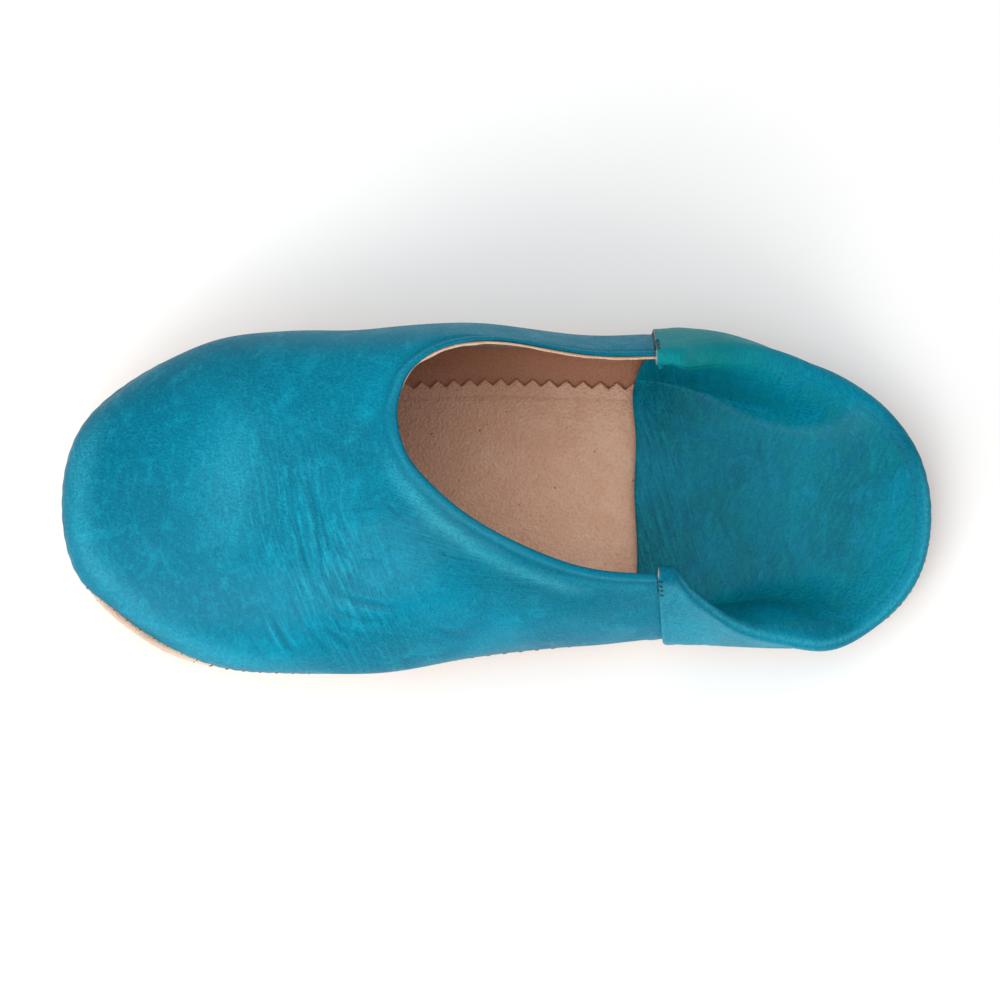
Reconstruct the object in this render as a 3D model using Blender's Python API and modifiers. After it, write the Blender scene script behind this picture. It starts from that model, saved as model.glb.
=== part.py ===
"""Babouche slipper for the right foot: dished outsole, pinked insole, vamp and trodden-down heel counter.

Metres, +Z up. The toe points to -X and the inner (medial) side faces -Y.
The origin is the middle of the flat spot under the heel, on the floor.
"""

import math

import bpy
import numpy as np

OBJECT_NAME = "babouche_slipper"

# Driving sizes of the shoe
LENGTH = 0.270
BALL_WIDTH = 0.104
INSTEP_HEIGHT = 0.077
TOE_SPRING = 0.022
ARCH_LIFT = 0.0018
HEEL_SPRING = 0.0120
BAND_HEIGHT = 0.0185

# Leather thicknesses and the gap that pieces which touch keep
SOLE_WALL = 0.0025
INSOLE_WALL = 0.0015
UPPER_WALL = 0.0018
COUNTER_WALL = 0.0015
CLEARANCE = 0.0003

# The dish of the sole and the sock that lies in it
DISH_CORNER = 0.012
EDGE_UPRIGHT = 0.0006
CORNER_TIGHTNESS = 1.25
INSOLE_INSET = 0.0115
TOOTH_PITCH = 0.0052
TOOTH_DEPTH = 0.0022

# The counter's lap over the upper, after how many laps and over what length it leaves the upper's
# shape, its rolled top and how far its outer face stands proud
LAP_LENGTH = 0.003
LEAVE_AFTER = 1.2
SEAM_BLEND = 0.008
ROLL_RADIUS = 0.0028
HEEL_ROLL_RADIUS = 0.0034
RIM_STAND = 0.0005
HEEL_PROUD = 0.0003

# Stations along the length, as shares from the toe tip
BALL_FLAT = (0.33, 0.40)
SEAT_FLAT = (0.75, 0.845)
SEAM_STATION = 0.68
TOE_CURVE = 1.85
HEEL_CURVE = 1.5

# The counter settles from the rolled heel to the lap at the seam between these shares of the way
# from the heel to the seam
SETTLE_SHARES = (0.55, 0.85)

# How far past the seam the vamp's own wall is drawn, for the counter to leave it smoothly
SHARED_STATION = 0.73

# How finely each piece is divided. The easing draws the counter's steps together at the seams and
# at the heel.
EDGE_STEPS = 36
CORNER_STEPS = 6
UPPER_STEPS = (56, 12)
COUNTER_STEPS = 40
STEP_EASING = 0.55
WALL_STEPS = 6
ROLL_STEPS = 5
SHEET_STEPS = 12
TRACE_POINTS = 1200
RING_STEP = 0.0015

# Small steps for directions along the stitch line (a share of a side) and along the sole (metres)
WAY_STEP = 0.004
SLOPE_STEP = 0.0005
CLOSING_KNOTS = 4

# Stitch line seen from above: station, reach of the near and of the far side in half ball widths
OUTLINE = (
    (0.022, -0.49, 0.45),
    (0.068, -0.74, 0.70),
    (0.137, -0.94, 0.90),
    (0.229, -1.01, 0.99),
    (0.367, -0.985, 1.005),
    (0.482, -0.895, 1.03),
    (0.600, -0.83, 1.01),
    (0.690, -0.79, 1.00),
    (0.780, -0.80, 0.97),
    (0.873, -0.82, 0.83),
    (0.942, -0.69, 0.63),
    (0.985, -0.43, 0.34),
)
TOE_ACROSS = -0.02
HEEL_ACROSS = -0.09

# Height of the sole's side band: station, share of the band height
BAND = (
    (0.00, 0.49),
    (0.08, 0.61),
    (0.13, 0.78),
    (0.20, 0.96),
    (0.30, 1.00),
    (0.38, 0.87),
    (0.44, 0.73),
    (0.52, 0.63),
    (0.62, 0.64),
    (0.70, 0.67),
    (0.79, 0.62),
    (0.84, 0.53),
    (0.90, 0.29),
    (0.95, 0.21),
    (1.00, 0.205),
)

# The vamp above the stitch line. Each row starts at a side and a station of the stitch line and ends on
# the throat: station, half ball widths across, share of the instep height. Lean is the angle outwards
# at the stitch line and slope the angle above level at the throat, in degrees. Rise and reach are how
# far each of the two holds, as shares of the straight way between them.
NEAR, FAR = -1, 1
UPPER_ROWS = (
    # side, station, top station, top across, top height, lean, rise, slope, reach
    (FAR, 0.690, 0.690, 0.79, 0.785, 9.0, 0.35, 70.0, 0.35),
    (FAR, 0.600, 0.602, 0.77, 0.865, 8.0, 0.35, 74.0, 0.35),
    (FAR, 0.500, 0.510, 0.82, 0.972, 7.0, 0.38, 68.0, 0.32),
    (FAR, 0.400, 0.445, 0.79, 0.988, 8.0, 0.40, 48.0, 0.34),
    (FAR, 0.290, 0.405, 0.68, 0.970, 10.0, 0.32, 31.0, 0.45),
    (FAR, 0.160, 0.389, 0.56, 0.957, 10.0, 0.20, 23.0, 0.58),
    (FAR, 0.050, 0.383, 0.45, 0.952, 6.0, 0.15, 21.0, 0.72),
    (NEAR, 0.000, 0.382, 0.375, 0.951, 4.0, 0.14, 20.5, 0.79),
    (NEAR, 0.050, 0.384, 0.29, 0.952, 6.0, 0.14, 21.0, 0.72),
    (NEAR, 0.160, 0.391, 0.17, 0.955, 12.0, 0.18, 22.0, 0.58),
    (NEAR, 0.290, 0.415, -0.01, 0.972, 18.0, 0.29, 25.0, 0.45),
    (NEAR, 0.400, 0.468, -0.25, 0.978, 18.0, 0.33, 34.0, 0.40),
    (NEAR, 0.500, 0.535, -0.43, 0.938, 16.0, 0.35, 48.0, 0.38),
    (NEAR, 0.600, 0.610, -0.54, 0.860, 14.0, 0.35, 60.0, 0.35),
    (NEAR, 0.690, 0.690, -0.55, 0.785, 12.0, 0.35, 68.0, 0.35),
)

# The counter behind the seam, up to where it starts to roll over. Inset is how far inwards of the
# stitch line that is, in half ball widths, and height how far above it, as a share of the instep height.
COUNTER_ROWS = (
    # side, station, inset, height, lean, rise, slope, reach
    (NEAR, 0.735, 0.100, 0.488, 10.0, 0.35, 76.0, 0.35),
    (NEAR, 0.780, -0.015, 0.380, 9.0, 0.35, 84.0, 0.35),
    (NEAR, 0.830, -0.040, 0.265, 9.0, 0.35, 92.0, 0.35),
    (NEAR, 0.875, -0.055, 0.190, 9.0, 0.35, 94.0, 0.35),
    (NEAR, 0.920, -0.020, 0.105, 5.0, 0.35, 92.0, 0.35),
    (NEAR, 0.960, 0.000, 0.050, 0.0, 0.35, 90.0, 0.35),
    (NEAR, 1.000, 0.000, 0.014, 0.0, 0.35, 90.0, 0.35),
    (FAR, 0.960, 0.000, 0.050, 0.0, 0.35, 90.0, 0.35),
    (FAR, 0.920, 0.000, 0.105, 5.0, 0.35, 90.0, 0.35),
    (FAR, 0.875, 0.010, 0.190, 8.0, 0.35, 88.0, 0.35),
    (FAR, 0.830, 0.030, 0.265, 9.0, 0.35, 84.0, 0.35),
    (FAR, 0.780, 0.080, 0.380, 9.0, 0.35, 78.0, 0.35),
    (FAR, 0.735, 0.140, 0.488, 9.0, 0.35, 73.0, 0.35),
)

# The free front edge of the trodden-down sheet: share of the way round the counter, station,
# half ball widths across, share of the instep height. A height of 0 lies on the insole.
FLAP_EDGE = (
    (0.00, 0.683, -0.455, 0.74),
    (0.08, 0.679, -0.58, 0.52),
    (0.15, 0.673, -0.66, 0.31),
    (0.21, 0.667, -0.64, 0.16),
    (0.27, 0.663, -0.57, 0.00),
    (0.40, 0.664, -0.23, 0.00),
    (0.50, 0.661, 0.12, 0.00),
    (0.60, 0.663, 0.42, 0.00),
    (0.73, 0.660, 0.74, 0.00),
    (0.79, 0.666, 0.83, 0.18),
    (0.85, 0.673, 0.86, 0.33),
    (0.92, 0.680, 0.82, 0.52),
    (1.00, 0.686, 0.72, 0.74),
)
SHEET_HOLD = 0.34
SHEET_SOFTNESS = 0.0008
ROLL_TURN = 158.0
HEEL_ROLL_TURN = 118.0

LEATHERS = {
    "outsole": ((0.66, 0.50, 0.36, 1.0), 0.65),
    "insole": ((0.42, 0.24, 0.16, 1.0), 0.70),
    "upper": ((0.010, 0.27, 0.40, 1.0), 0.45),
    "heel_counter": ((0.010, 0.24, 0.36, 1.0), 0.45),
}

HALF_BALL = BALL_WIDTH / 2
REST_ALONG = LENGTH * (SEAT_FLAT[0] + SEAT_FLAT[1]) / 2
UP = np.array((0.0, 0.0, 1.0))


def spline(knots, values):
    """The natural cubic spline through rows of values, as a function of the knot."""
    knots = np.asarray(knots, float)
    values = np.asarray(values, float)
    gaps = np.diff(knots)[:, None]
    slopes = np.diff(values, axis=0) / gaps
    count = len(knots)
    matrix = np.eye(count)
    right = np.zeros_like(values)
    for i in range(1, count - 1):
        matrix[i, i - 1] = gaps[i - 1, 0]
        matrix[i, i] = 2 * (gaps[i - 1, 0] + gaps[i, 0])
        matrix[i, i + 1] = gaps[i, 0]
        right[i] = 6 * (slopes[i] - slopes[i - 1])
    bends = np.linalg.solve(matrix, right)

    def curve(at):
        at = np.atleast_1d(np.asarray(at, float))
        i = np.clip(np.searchsorted(knots, at) - 1, 0, count - 2)
        gap = gaps[i]
        past = (at - knots[i])[:, None]
        left = gap - past
        bent = (bends[i] * left**3 + bends[i + 1] * past**3) / (6 * gap)
        return (bent + (values[i] / gap - bends[i] * gap / 6) * left
                + (values[i + 1] / gap - bends[i + 1] * gap / 6) * past)

    return curve


def closed_spline(knots, values, period):
    """A spline that runs on smoothly from its last row to its first."""
    knots = np.asarray(knots, float)
    values = np.asarray(values, float)
    before, after = slice(-CLOSING_KNOTS, None), slice(None, CLOSING_KNOTS)
    knots = np.concatenate((knots[before] - period, knots, knots[after] + period))
    values = np.concatenate((values[before], values, values[after]))
    return spline(knots, values)


def unit(vectors):
    return vectors / np.linalg.norm(vectors, axis=-1, keepdims=True)


def traced_sides():
    """The stitch line from above as two dense runs of points from the toe tip to the heel tip."""
    rows = np.array(OUTLINE)
    toe = [(0.0, TOE_ACROSS)]
    heel = [(1.0, HEEL_ACROSS)]
    near = [(row[0], row[1]) for row in rows]
    far = [(row[0], row[2]) for row in rows[::-1]]
    points = np.array(toe + near + heel + far) * (LENGTH, HALF_BALL)
    steps = np.linalg.norm(np.diff(points, axis=0, append=points[:1]), axis=1)
    knots = np.concatenate(((0.0,), np.cumsum(steps)))
    curve = closed_spline(knots[:-1], points, knots[-1])
    heel_knot = knots[1 + len(rows)]
    near_run = curve(np.linspace(0.0, heel_knot, TRACE_POINTS))
    far_run = curve(np.linspace(knots[-1], heel_knot, TRACE_POINTS))
    return {NEAR: near_run, FAR: far_run}


SIDES = traced_sides()


def side_lengths(run):
    steps = np.linalg.norm(np.diff(run, axis=0), axis=1)
    return np.concatenate(((0.0,), np.cumsum(steps)))


def way_of(side, station):
    """Where a station of one side lies: 0 at the toe tip, +1 or -1 at the heel tip."""
    run = SIDES[side]
    lengths = side_lengths(run)
    reached = np.interp(station * LENGTH, run[:, 0], lengths)
    return -side * reached / lengths[-1]


def seam_ways():
    return way_of(FAR, SEAM_STATION), way_of(NEAR, SEAM_STATION)


def stitch_plan(way):
    """Points of the stitch line from above. Positive ways run along the near side."""
    way = np.asarray(way, float)
    way = (way + 1) % 2 - 1
    plan = np.empty(way.shape + (2,))
    for side, run in SIDES.items():
        lengths = side_lengths(run) / side_lengths(run)[-1]
        here = (way >= 0) if side == NEAR else (way < 0)
        for axis in (0, 1):
            plan[here, axis] = np.interp(np.abs(way[here]), lengths, run[:, axis])
    return plan


def outward(way):
    """The level direction straight out of the stitch line."""
    along = unit(stitch_plan(way + WAY_STEP) - stitch_plan(way - WAY_STEP))
    return np.stack((along[..., 1], -along[..., 0], np.zeros_like(along[..., 0])), axis=-1)


def sole_bottom(along):
    """Height of the sole's underside over the floor."""
    station = np.asarray(along) / LENGTH
    toe = np.clip((BALL_FLAT[0] - station) / BALL_FLAT[0], 0.0, 1.0)
    heel = np.clip((station - SEAT_FLAT[1]) / (1 - SEAT_FLAT[1]), 0.0, 1.0)
    arch = np.clip((station - BALL_FLAT[1]) / (SEAT_FLAT[0] - BALL_FLAT[1]), 0.0, 1.0)
    return (TOE_SPRING * toe**TOE_CURVE + HEEL_SPRING * heel**HEEL_CURVE
            + ARCH_LIFT * np.sin(math.pi * arch) ** 2)


def sole_slope(along):
    """Angle of the underside along the shoe."""
    rise = sole_bottom(along + SLOPE_STEP) - sole_bottom(along - SLOPE_STEP)
    return np.arctan(rise / (2 * SLOPE_STEP))


def over_sole(plan, height):
    """Points at a height over the flat of the underside, square to it."""
    slope = sole_slope(plan[:, 0])
    lift = np.column_stack((-np.sin(slope), np.zeros_like(slope), np.cos(slope))) * height
    return np.column_stack((plan, sole_bottom(plan[:, 0]))) + lift


BAND_CURVE = spline([row[0] for row in BAND], [(row[1],) for row in BAND])


def band_height(along):
    """Height of the sole's side, from its underside to the stitch line."""
    station = np.clip(np.asarray(along) / LENGTH, 0.0, 1.0)
    return BAND_HEIGHT * BAND_CURVE(station.ravel())[:, 0].reshape(station.shape)


def corner_size(along):
    """Height and width of the turned-up corner, under the sole's upright edge.

    A low side turns up tightly, but no tighter than the leather's own thickness.
    """
    height = band_height(along) - EDGE_UPRIGHT
    return height, np.minimum(DISH_CORNER, height**2 / (SOLE_WALL * CORNER_TIGHTNESS))


def stitch_line(way):
    """Points of the stitch line in space, on the outer face of the sole."""
    plan = stitch_plan(way)
    height = sole_bottom(plan[..., 0]) + band_height(plan[..., 0])
    return np.concatenate((plan, height[..., None]), axis=-1)


def upper_rows():
    """The vamp's rows as ways round the shoe and real sizes, from the far seam to the near seam."""
    ways, values = [], []
    for side, station, top_station, across, height, lean, rise, slope, reach in UPPER_ROWS:
        ways.append(way_of(side, station))
        values.append((top_station * LENGTH, across * HALF_BALL, height * INSTEP_HEIGHT,
                       math.radians(lean), rise, math.radians(slope), reach))
    return ways, values


UPPER_CURVE = spline(*upper_rows())


def counter_rows():
    """The counter's rows as ways and real sizes. The vamp's last two rows lead in and out of them."""
    ways, values = [], []
    upper_ways, upper_values = upper_rows()
    for way, row in zip(upper_ways, upper_values):
        if abs(way) >= min(abs(upper_ways[1]), abs(upper_ways[-2])):
            offset = np.array(row[:3]) - stitch_line(np.array([way]))[0]
            ways.append(way if way > 0 else way + 2)
            values.append((-offset[:2] @ outward(np.array([way]))[0, :2], offset[2], *row[3:]))
    for side, station, inset, height, lean, rise, slope, reach in COUNTER_ROWS:
        way = way_of(side, station)
        ways.append(way if way > 0 else way + 2)
        values.append((inset * HALF_BALL, height * INSTEP_HEIGHT, math.radians(lean), rise,
                       math.radians(slope), reach))
    order = np.argsort(ways)
    return np.array(ways)[order], np.array(values)[order]


COUNTER_CURVE = spline(*counter_rows())


def wall_lines(way, top, inward, lean, rise, slope, reach):
    """Foot, both holds, top and the two directions at the top of the wall at each way."""
    foot = stitch_line(way) + CLEARANCE * UP
    span = np.linalg.norm(top - foot, axis=1)
    start = outward(way) * np.sin(lean)[:, None] + UP * np.cos(lean)[:, None]
    end = inward * np.cos(slope)[:, None] + UP * np.sin(slope)[:, None]
    over = inward * np.sin(slope)[:, None] - UP * np.cos(slope)[:, None]
    first_hold = foot + start * (rise * span)[:, None]
    last_hold = top - end * (reach * span)[:, None]
    return foot, first_hold, last_hold, top, end, over


def upper_lines(way):
    values = UPPER_CURVE(way)
    top = values[:, :3]
    inward = top - stitch_line(way)
    inward[:, 2] = 0.0
    return wall_lines(way, top, unit(inward), *values[:, 3:].T)


def smooth_step(share):
    share = np.clip(share, 0.0, 1.0)
    return share**2 * (3 - 2 * share)


def leaves_seam(way):
    """0 where the counter laps the vamp, rising to 1 where it has left the vamp's shape."""
    far_way, near_way = seam_ways()
    upper_way = np.where(way > 1, way - 2, way)
    ways_past_seam = np.where(way > 1, far_way - upper_way, upper_way - near_way)
    past_seam = ways_past_seam * side_lengths(SIDES[NEAR])[-1]
    return smooth_step((past_seam - LEAVE_AFTER * LAP_LENGTH) / SEAM_BLEND)[:, None]


def counter_lines(way):
    """The counter's wall lines. Where it laps the vamp they are the vamp's own."""
    values = COUNTER_CURVE(way)
    inward = -outward(way)
    top = stitch_line(way) + inward * values[:, :1] + UP * values[:, 1:2]
    own_lines = wall_lines(way, top, inward, *values[:, 2:].T)
    upper_way = np.where(way > 1, way - 2, way)
    reach = (way_of(FAR, SHARED_STATION), way_of(NEAR, SHARED_STATION))
    vamp_lines = upper_lines(np.clip(upper_way, *reach))
    leave = leaves_seam(way)
    return [vamp + (own - vamp) * leave for vamp, own in zip(vamp_lines, own_lines)]


def bezier(first, second, third, last, shares):
    """Points of cubic curves, one curve a row and one share a column."""
    t = np.asarray(shares)[None, :, None]
    a, b, c, d = (p[:, None, :] for p in (first, second, third, last))
    return a * (1 - t) ** 3 + b * 3 * t * (1 - t) ** 2 + c * 3 * t**2 * (1 - t) + d * t**3


def grid_normals(points):
    """Unit normals of a grid of points, out of the shoe's wall."""
    along = np.gradient(points, axis=0)
    across = np.gradient(points, axis=1)
    return unit(np.cross(along, across))


def upper_points():
    """The vamp's outer face, from the far side seam round the toe to the near side seam."""
    ways_count, shares_count = UPPER_STEPS
    lap = LAP_LENGTH / LENGTH
    first = way_of(FAR, SEAM_STATION + lap)
    last = way_of(NEAR, SEAM_STATION + lap)
    ways = np.linspace(first, last, ways_count + 1)
    foot, first_hold, last_hold, top, _, _ = upper_lines(ways)
    return bezier(foot, first_hold, last_hold, top, np.linspace(0.0, 1.0, shares_count + 1))


def lying_height(points):
    """Height of the top face of leather that lies in the dish, on the insole or on its corner."""
    edge = np.concatenate([SIDES[NEAR], SIDES[FAR]])
    apart = np.linalg.norm(points[..., None, :2] - edge, axis=-1)
    nearest = edge[np.argmin(apart, axis=-1), 0]
    inset = np.clip(np.min(apart, axis=-1), SOLE_WALL, None)
    height, width = corner_size(nearest)
    up_corner = np.clip((width - inset) / (width - SOLE_WALL), 0.0, 1.0)
    rise = (height - SOLE_WALL) * (1 - np.sqrt(1 - up_corner**2))
    layers = SOLE_WALL + INSOLE_WALL + COUNTER_WALL + 2 * CLEARANCE
    return sole_bottom(points[..., 0]) + rise + layers / np.cos(sole_slope(points[..., 0]))


def counter_points():
    """The counter's outer face: up the wall, over the rolled rim and down on to the insole."""
    far_way, near_way = seam_ways()
    shares = np.linspace(0.0, 1.0, COUNTER_STEPS + 1)
    shares = shares - STEP_EASING * np.sin(4 * math.pi * shares) / (4 * math.pi)
    ways = near_way + shares * (far_way + 2 - near_way)
    from_heel = np.abs(2 * shares - 1)
    first, last = SETTLE_SHARES
    settle = smooth_step((from_heel - first) / (last - first))[:, None]
    lap = HEEL_PROUD + settle * (COUNTER_WALL + CLEARANCE - HEEL_PROUD)
    radius = HEEL_ROLL_RADIUS + settle * (ROLL_RADIUS - HEEL_ROLL_RADIUS)
    turn = np.radians(HEEL_ROLL_TURN + settle * (ROLL_TURN - HEEL_ROLL_TURN))

    foot, first_hold, last_hold, top, end, over = counter_lines(ways)
    side = bezier(foot, first_hold, last_hold, top, np.linspace(0.0, 1.0, WALL_STEPS + 1))
    side = side + grid_normals(side) * lap[:, None, :]
    rim = side[:, -1] + end * RIM_STAND

    angle = turn * np.linspace(0.0, 1.0, ROLL_STEPS + 1)[None, :]
    centre = rim + over * radius
    roll = (centre[:, None, :] - (over * radius)[:, None, :] * np.cos(angle)[..., None]
            + (end * radius)[:, None, :] * np.sin(angle)[..., None])

    start = over * np.sin(turn) + end * np.cos(turn)
    edge_curve = spline([row[0] for row in FLAP_EDGE], [row[1:] for row in FLAP_EDGE])
    edge = edge_curve(shares) * (LENGTH, HALF_BALL, INSTEP_HEIGHT)
    edge[:, 2] = np.maximum(edge[:, 2], lying_height(edge))
    begin = roll[:, -1]
    hold = SHEET_HOLD * np.linalg.norm(edge - begin, axis=1, keepdims=True)
    back = np.array((1.0, 0.0, 0.0))
    sheet = bezier(begin, begin + start * hold, edge + back * hold, edge,
                   np.linspace(0.0, 1.0, SHEET_STEPS + 1))
    floor = lying_height(sheet)
    above = sheet[..., 2] - floor
    sheet[..., 2] = floor + (above + np.sqrt(above**2 + SHEET_SOFTNESS**2)) / 2
    return np.concatenate((side, roll, sheet[:, 1:]), axis=1)


def world(points):
    """From lengths measured from the toe tip to the shoe's own frame."""
    return np.asarray(points) - (REST_ALONG, 0.0, 0.0)


def grid_mesh(name, points):
    """An open sheet of quads through a grid of points, with its normals out of the shoe."""
    rows, columns = points.shape[:2]
    faces = []
    for i in range(rows - 1):
        for j in range(columns - 1):
            first = i * columns + j
            faces.append((first, first + columns, first + columns + 1, first + 1))
    mesh = bpy.data.meshes.new(name)
    mesh.from_pydata(world(points).reshape(-1, 3).tolist(), [], faces)
    mesh.validate()
    return mesh


def leather(name):
    """The piece's own leather."""
    color, roughness = LEATHERS[name]
    material = bpy.data.materials.new(name)
    material.use_nodes = True
    shader = material.node_tree.nodes["Principled BSDF"]
    shader.inputs["Base Color"].default_value = color
    shader.inputs["Roughness"].default_value = roughness
    shader.inputs["Metallic"].default_value = 0.0
    return material


def add_piece(collection, mesh, thickness, offset):
    """A sheet of leather of the given thickness, on one side of its mesh."""
    mesh.materials.append(leather(mesh.name))
    mesh.shade_smooth()
    piece = bpy.data.objects.new(mesh.name, mesh)
    collection.objects.link(piece)
    shell = piece.modifiers.new("leather", "SOLIDIFY")
    shell.thickness = thickness
    shell.offset = offset
    shell.use_even_offset = True
    return piece


def dish_rings():
    """The sole's outer face as closed rings of points, from the stitch line inwards."""
    near = np.linspace(0.0, 1.0, EDGE_STEPS + 1)
    ways = np.concatenate((near, -near[-2:0:-1]))
    edge = stitch_plan(ways)
    inward = -outward(ways)[:, :2]
    height, width = corner_size(edge[:, 0])
    rings = [stitch_line(ways)]
    for angle in np.linspace(math.pi / 2, 0.0, CORNER_STEPS + 1):
        inset = width * (1 - math.sin(angle))
        plan = edge + inward * inset[:, None]
        rise = height * (1 - math.cos(angle))
        rings.append(np.column_stack((plan, sole_bottom(plan[:, 0]) + rise)))
    rings.append(over_sole(edge + inward * (DISH_CORNER + RING_STEP), 0.0))
    return rings


def ringed_mesh(name, rings):
    """A dish through closed rings of points, with a ladder of faces across the innermost."""
    count = len(rings[0])
    faces = []
    for ring in range(len(rings) - 1):
        for i in range(count):
            j = (i + 1) % count
            a, b = ring * count + i, ring * count + j
            faces.append((a, a + count, b + count, b))
    last = (len(rings) - 1) * count
    half = count // 2
    for i in range(half):
        near_pair = [last + i, last + i + 1]
        far_pair = [last + (count - i - 1) % count, last + (count - i) % count]
        rung = dict.fromkeys(near_pair + far_pair)
        faces.append(tuple(rung)[::-1])
    mesh = bpy.data.meshes.new(name)
    mesh.from_pydata(world(np.concatenate(rings)).tolist(), [], faces)
    mesh.validate()
    return mesh


def build_outsole(collection):
    mesh = ringed_mesh("outsole", dish_rings())
    return add_piece(collection, mesh, SOLE_WALL, -1.0)


def insole_rings():
    """The sock's underside: its pinked edge and a ring just inside the teeth."""
    near_length = side_lengths(SIDES[NEAR])[-1]
    far_length = side_lengths(SIDES[FAR])[-1]
    teeth = int(round((near_length + far_length) / 2 / TOOTH_PITCH))
    near = np.linspace(0.0, 1.0, 2 * teeth + 1)
    ways = np.concatenate((near, -near[-2:0:-1]))
    edge = stitch_plan(ways)
    inward = -outward(ways)[:, :2]
    tooth = np.where(np.arange(len(ways)) % 2 == 0, TOOTH_DEPTH, 0.0)[:, None]
    pinked = edge + inward * (INSOLE_INSET + tooth)
    root = edge + inward * (INSOLE_INSET + TOOTH_DEPTH + RING_STEP)
    return [over_sole(plan, SOLE_WALL + CLEARANCE) for plan in (pinked, root)]


def build_insole(collection):
    mesh = ringed_mesh("insole", insole_rings())
    return add_piece(collection, mesh, INSOLE_WALL, -1.0)


def build_upper(collection):
    mesh = grid_mesh("upper", upper_points())
    return add_piece(collection, mesh, UPPER_WALL, -1.0)


def build_counter(collection):
    mesh = grid_mesh("heel_counter", counter_points())
    return add_piece(collection, mesh, COUNTER_WALL, -1.0)


def clear_scene():
    for thing in list(bpy.data.objects):
        bpy.data.objects.remove(thing, do_unlink=True)


def main():
    clear_scene()
    collection = bpy.data.collections.new(OBJECT_NAME)
    bpy.context.scene.collection.children.link(collection)
    build_outsole(collection)
    build_insole(collection)
    build_upper(collection)
    build_counter(collection)


main()
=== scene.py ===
"""Looks of the babouche slipper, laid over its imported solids.

Every piece of leather is drawn again on the same sections as its solid, finely enough for its
creases, cut edges and stitches. Metres, +Z up, the toe towards -X, the inner side towards -Y.
"""

import math

import bpy
import numpy as np
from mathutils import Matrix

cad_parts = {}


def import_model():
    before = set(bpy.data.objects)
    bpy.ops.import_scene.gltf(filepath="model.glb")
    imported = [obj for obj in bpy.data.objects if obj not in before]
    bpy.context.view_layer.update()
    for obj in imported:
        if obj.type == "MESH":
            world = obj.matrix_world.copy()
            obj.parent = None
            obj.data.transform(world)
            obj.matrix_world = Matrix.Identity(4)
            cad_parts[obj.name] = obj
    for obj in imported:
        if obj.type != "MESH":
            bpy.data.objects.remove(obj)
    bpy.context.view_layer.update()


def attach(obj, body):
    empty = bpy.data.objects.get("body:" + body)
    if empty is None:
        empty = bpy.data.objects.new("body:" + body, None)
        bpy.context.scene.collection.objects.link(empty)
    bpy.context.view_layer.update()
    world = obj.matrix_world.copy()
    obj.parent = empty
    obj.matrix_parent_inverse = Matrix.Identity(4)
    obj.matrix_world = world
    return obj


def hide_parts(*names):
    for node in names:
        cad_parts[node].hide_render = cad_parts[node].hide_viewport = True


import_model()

# Driving sizes of the shoe
LENGTH = 0.270
BALL_WIDTH = 0.104
INSTEP_HEIGHT = 0.077
TOE_SPRING = 0.022
ARCH_LIFT = 0.0018
HEEL_SPRING = 0.0120
BAND_HEIGHT = 0.0185

# Leather thicknesses and the gap that pieces which touch keep
SOLE_WALL = 0.0025
INSOLE_WALL = 0.0015
UPPER_WALL = 0.0018
COUNTER_WALL = 0.0015
CLEARANCE = 0.0003

# The dish of the sole and the sock that lies in it
DISH_CORNER = 0.012
EDGE_UPRIGHT = 0.0006
CORNER_TIGHTNESS = 1.25
INSOLE_INSET = 0.0115
TOOTH_PITCH = 0.0052
TOOTH_DEPTH = 0.0022

# The counter's lap over the upper, after how many laps and over what length it leaves the upper's
# shape, its rolled top and how far its outer face stands proud
LAP_LENGTH = 0.003
LEAVE_AFTER = 1.2
SEAM_BLEND = 0.008
ROLL_RADIUS = 0.0028
HEEL_ROLL_RADIUS = 0.0034
RIM_STAND = 0.0005
HEEL_PROUD = 0.0003

# Stations along the length, as shares from the toe tip
BALL_FLAT = (0.33, 0.40)
SEAT_FLAT = (0.75, 0.845)
SEAM_STATION = 0.68
TOE_CURVE = 1.85
HEEL_CURVE = 1.5

# The counter settles from the rolled heel to the lap at the seam between these shares of the way
# from the heel to the seam
SETTLE_SHARES = (0.55, 0.85)

# The station up to which the vamp's own wall is drawn, for the counter to leave it smoothly
SHARED_STATION = 0.73

# How far inside its turned-up corner the sole's bottom begins
RING_STEP = 0.0015

# Small steps for directions along the stitch line (a share of a side) and along the sole (metres)
WAY_STEP = 0.004
SLOPE_STEP = 0.0005

# How many knots of a closed curve are repeated before its start and after its end
CLOSING_KNOTS = 4

# Stitch line seen from above: station, reach of the near and of the far side in half ball widths
OUTLINE = (
    (0.022, -0.49, 0.45),
    (0.068, -0.74, 0.70),
    (0.137, -0.94, 0.90),
    (0.229, -1.01, 0.99),
    (0.367, -0.985, 1.005),
    (0.482, -0.895, 1.03),
    (0.600, -0.83, 1.01),
    (0.690, -0.79, 1.00),
    (0.780, -0.80, 0.97),
    (0.873, -0.82, 0.83),
    (0.942, -0.69, 0.63),
    (0.985, -0.43, 0.34),
)
TOE_ACROSS = -0.02
HEEL_ACROSS = -0.09

# Height of the sole's side band: station, share of the band height
BAND = (
    (0.00, 0.49),
    (0.08, 0.61),
    (0.13, 0.78),
    (0.20, 0.96),
    (0.30, 1.00),
    (0.38, 0.87),
    (0.44, 0.73),
    (0.52, 0.63),
    (0.62, 0.64),
    (0.70, 0.67),
    (0.79, 0.62),
    (0.84, 0.53),
    (0.90, 0.29),
    (0.95, 0.21),
    (1.00, 0.205),
)

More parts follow.
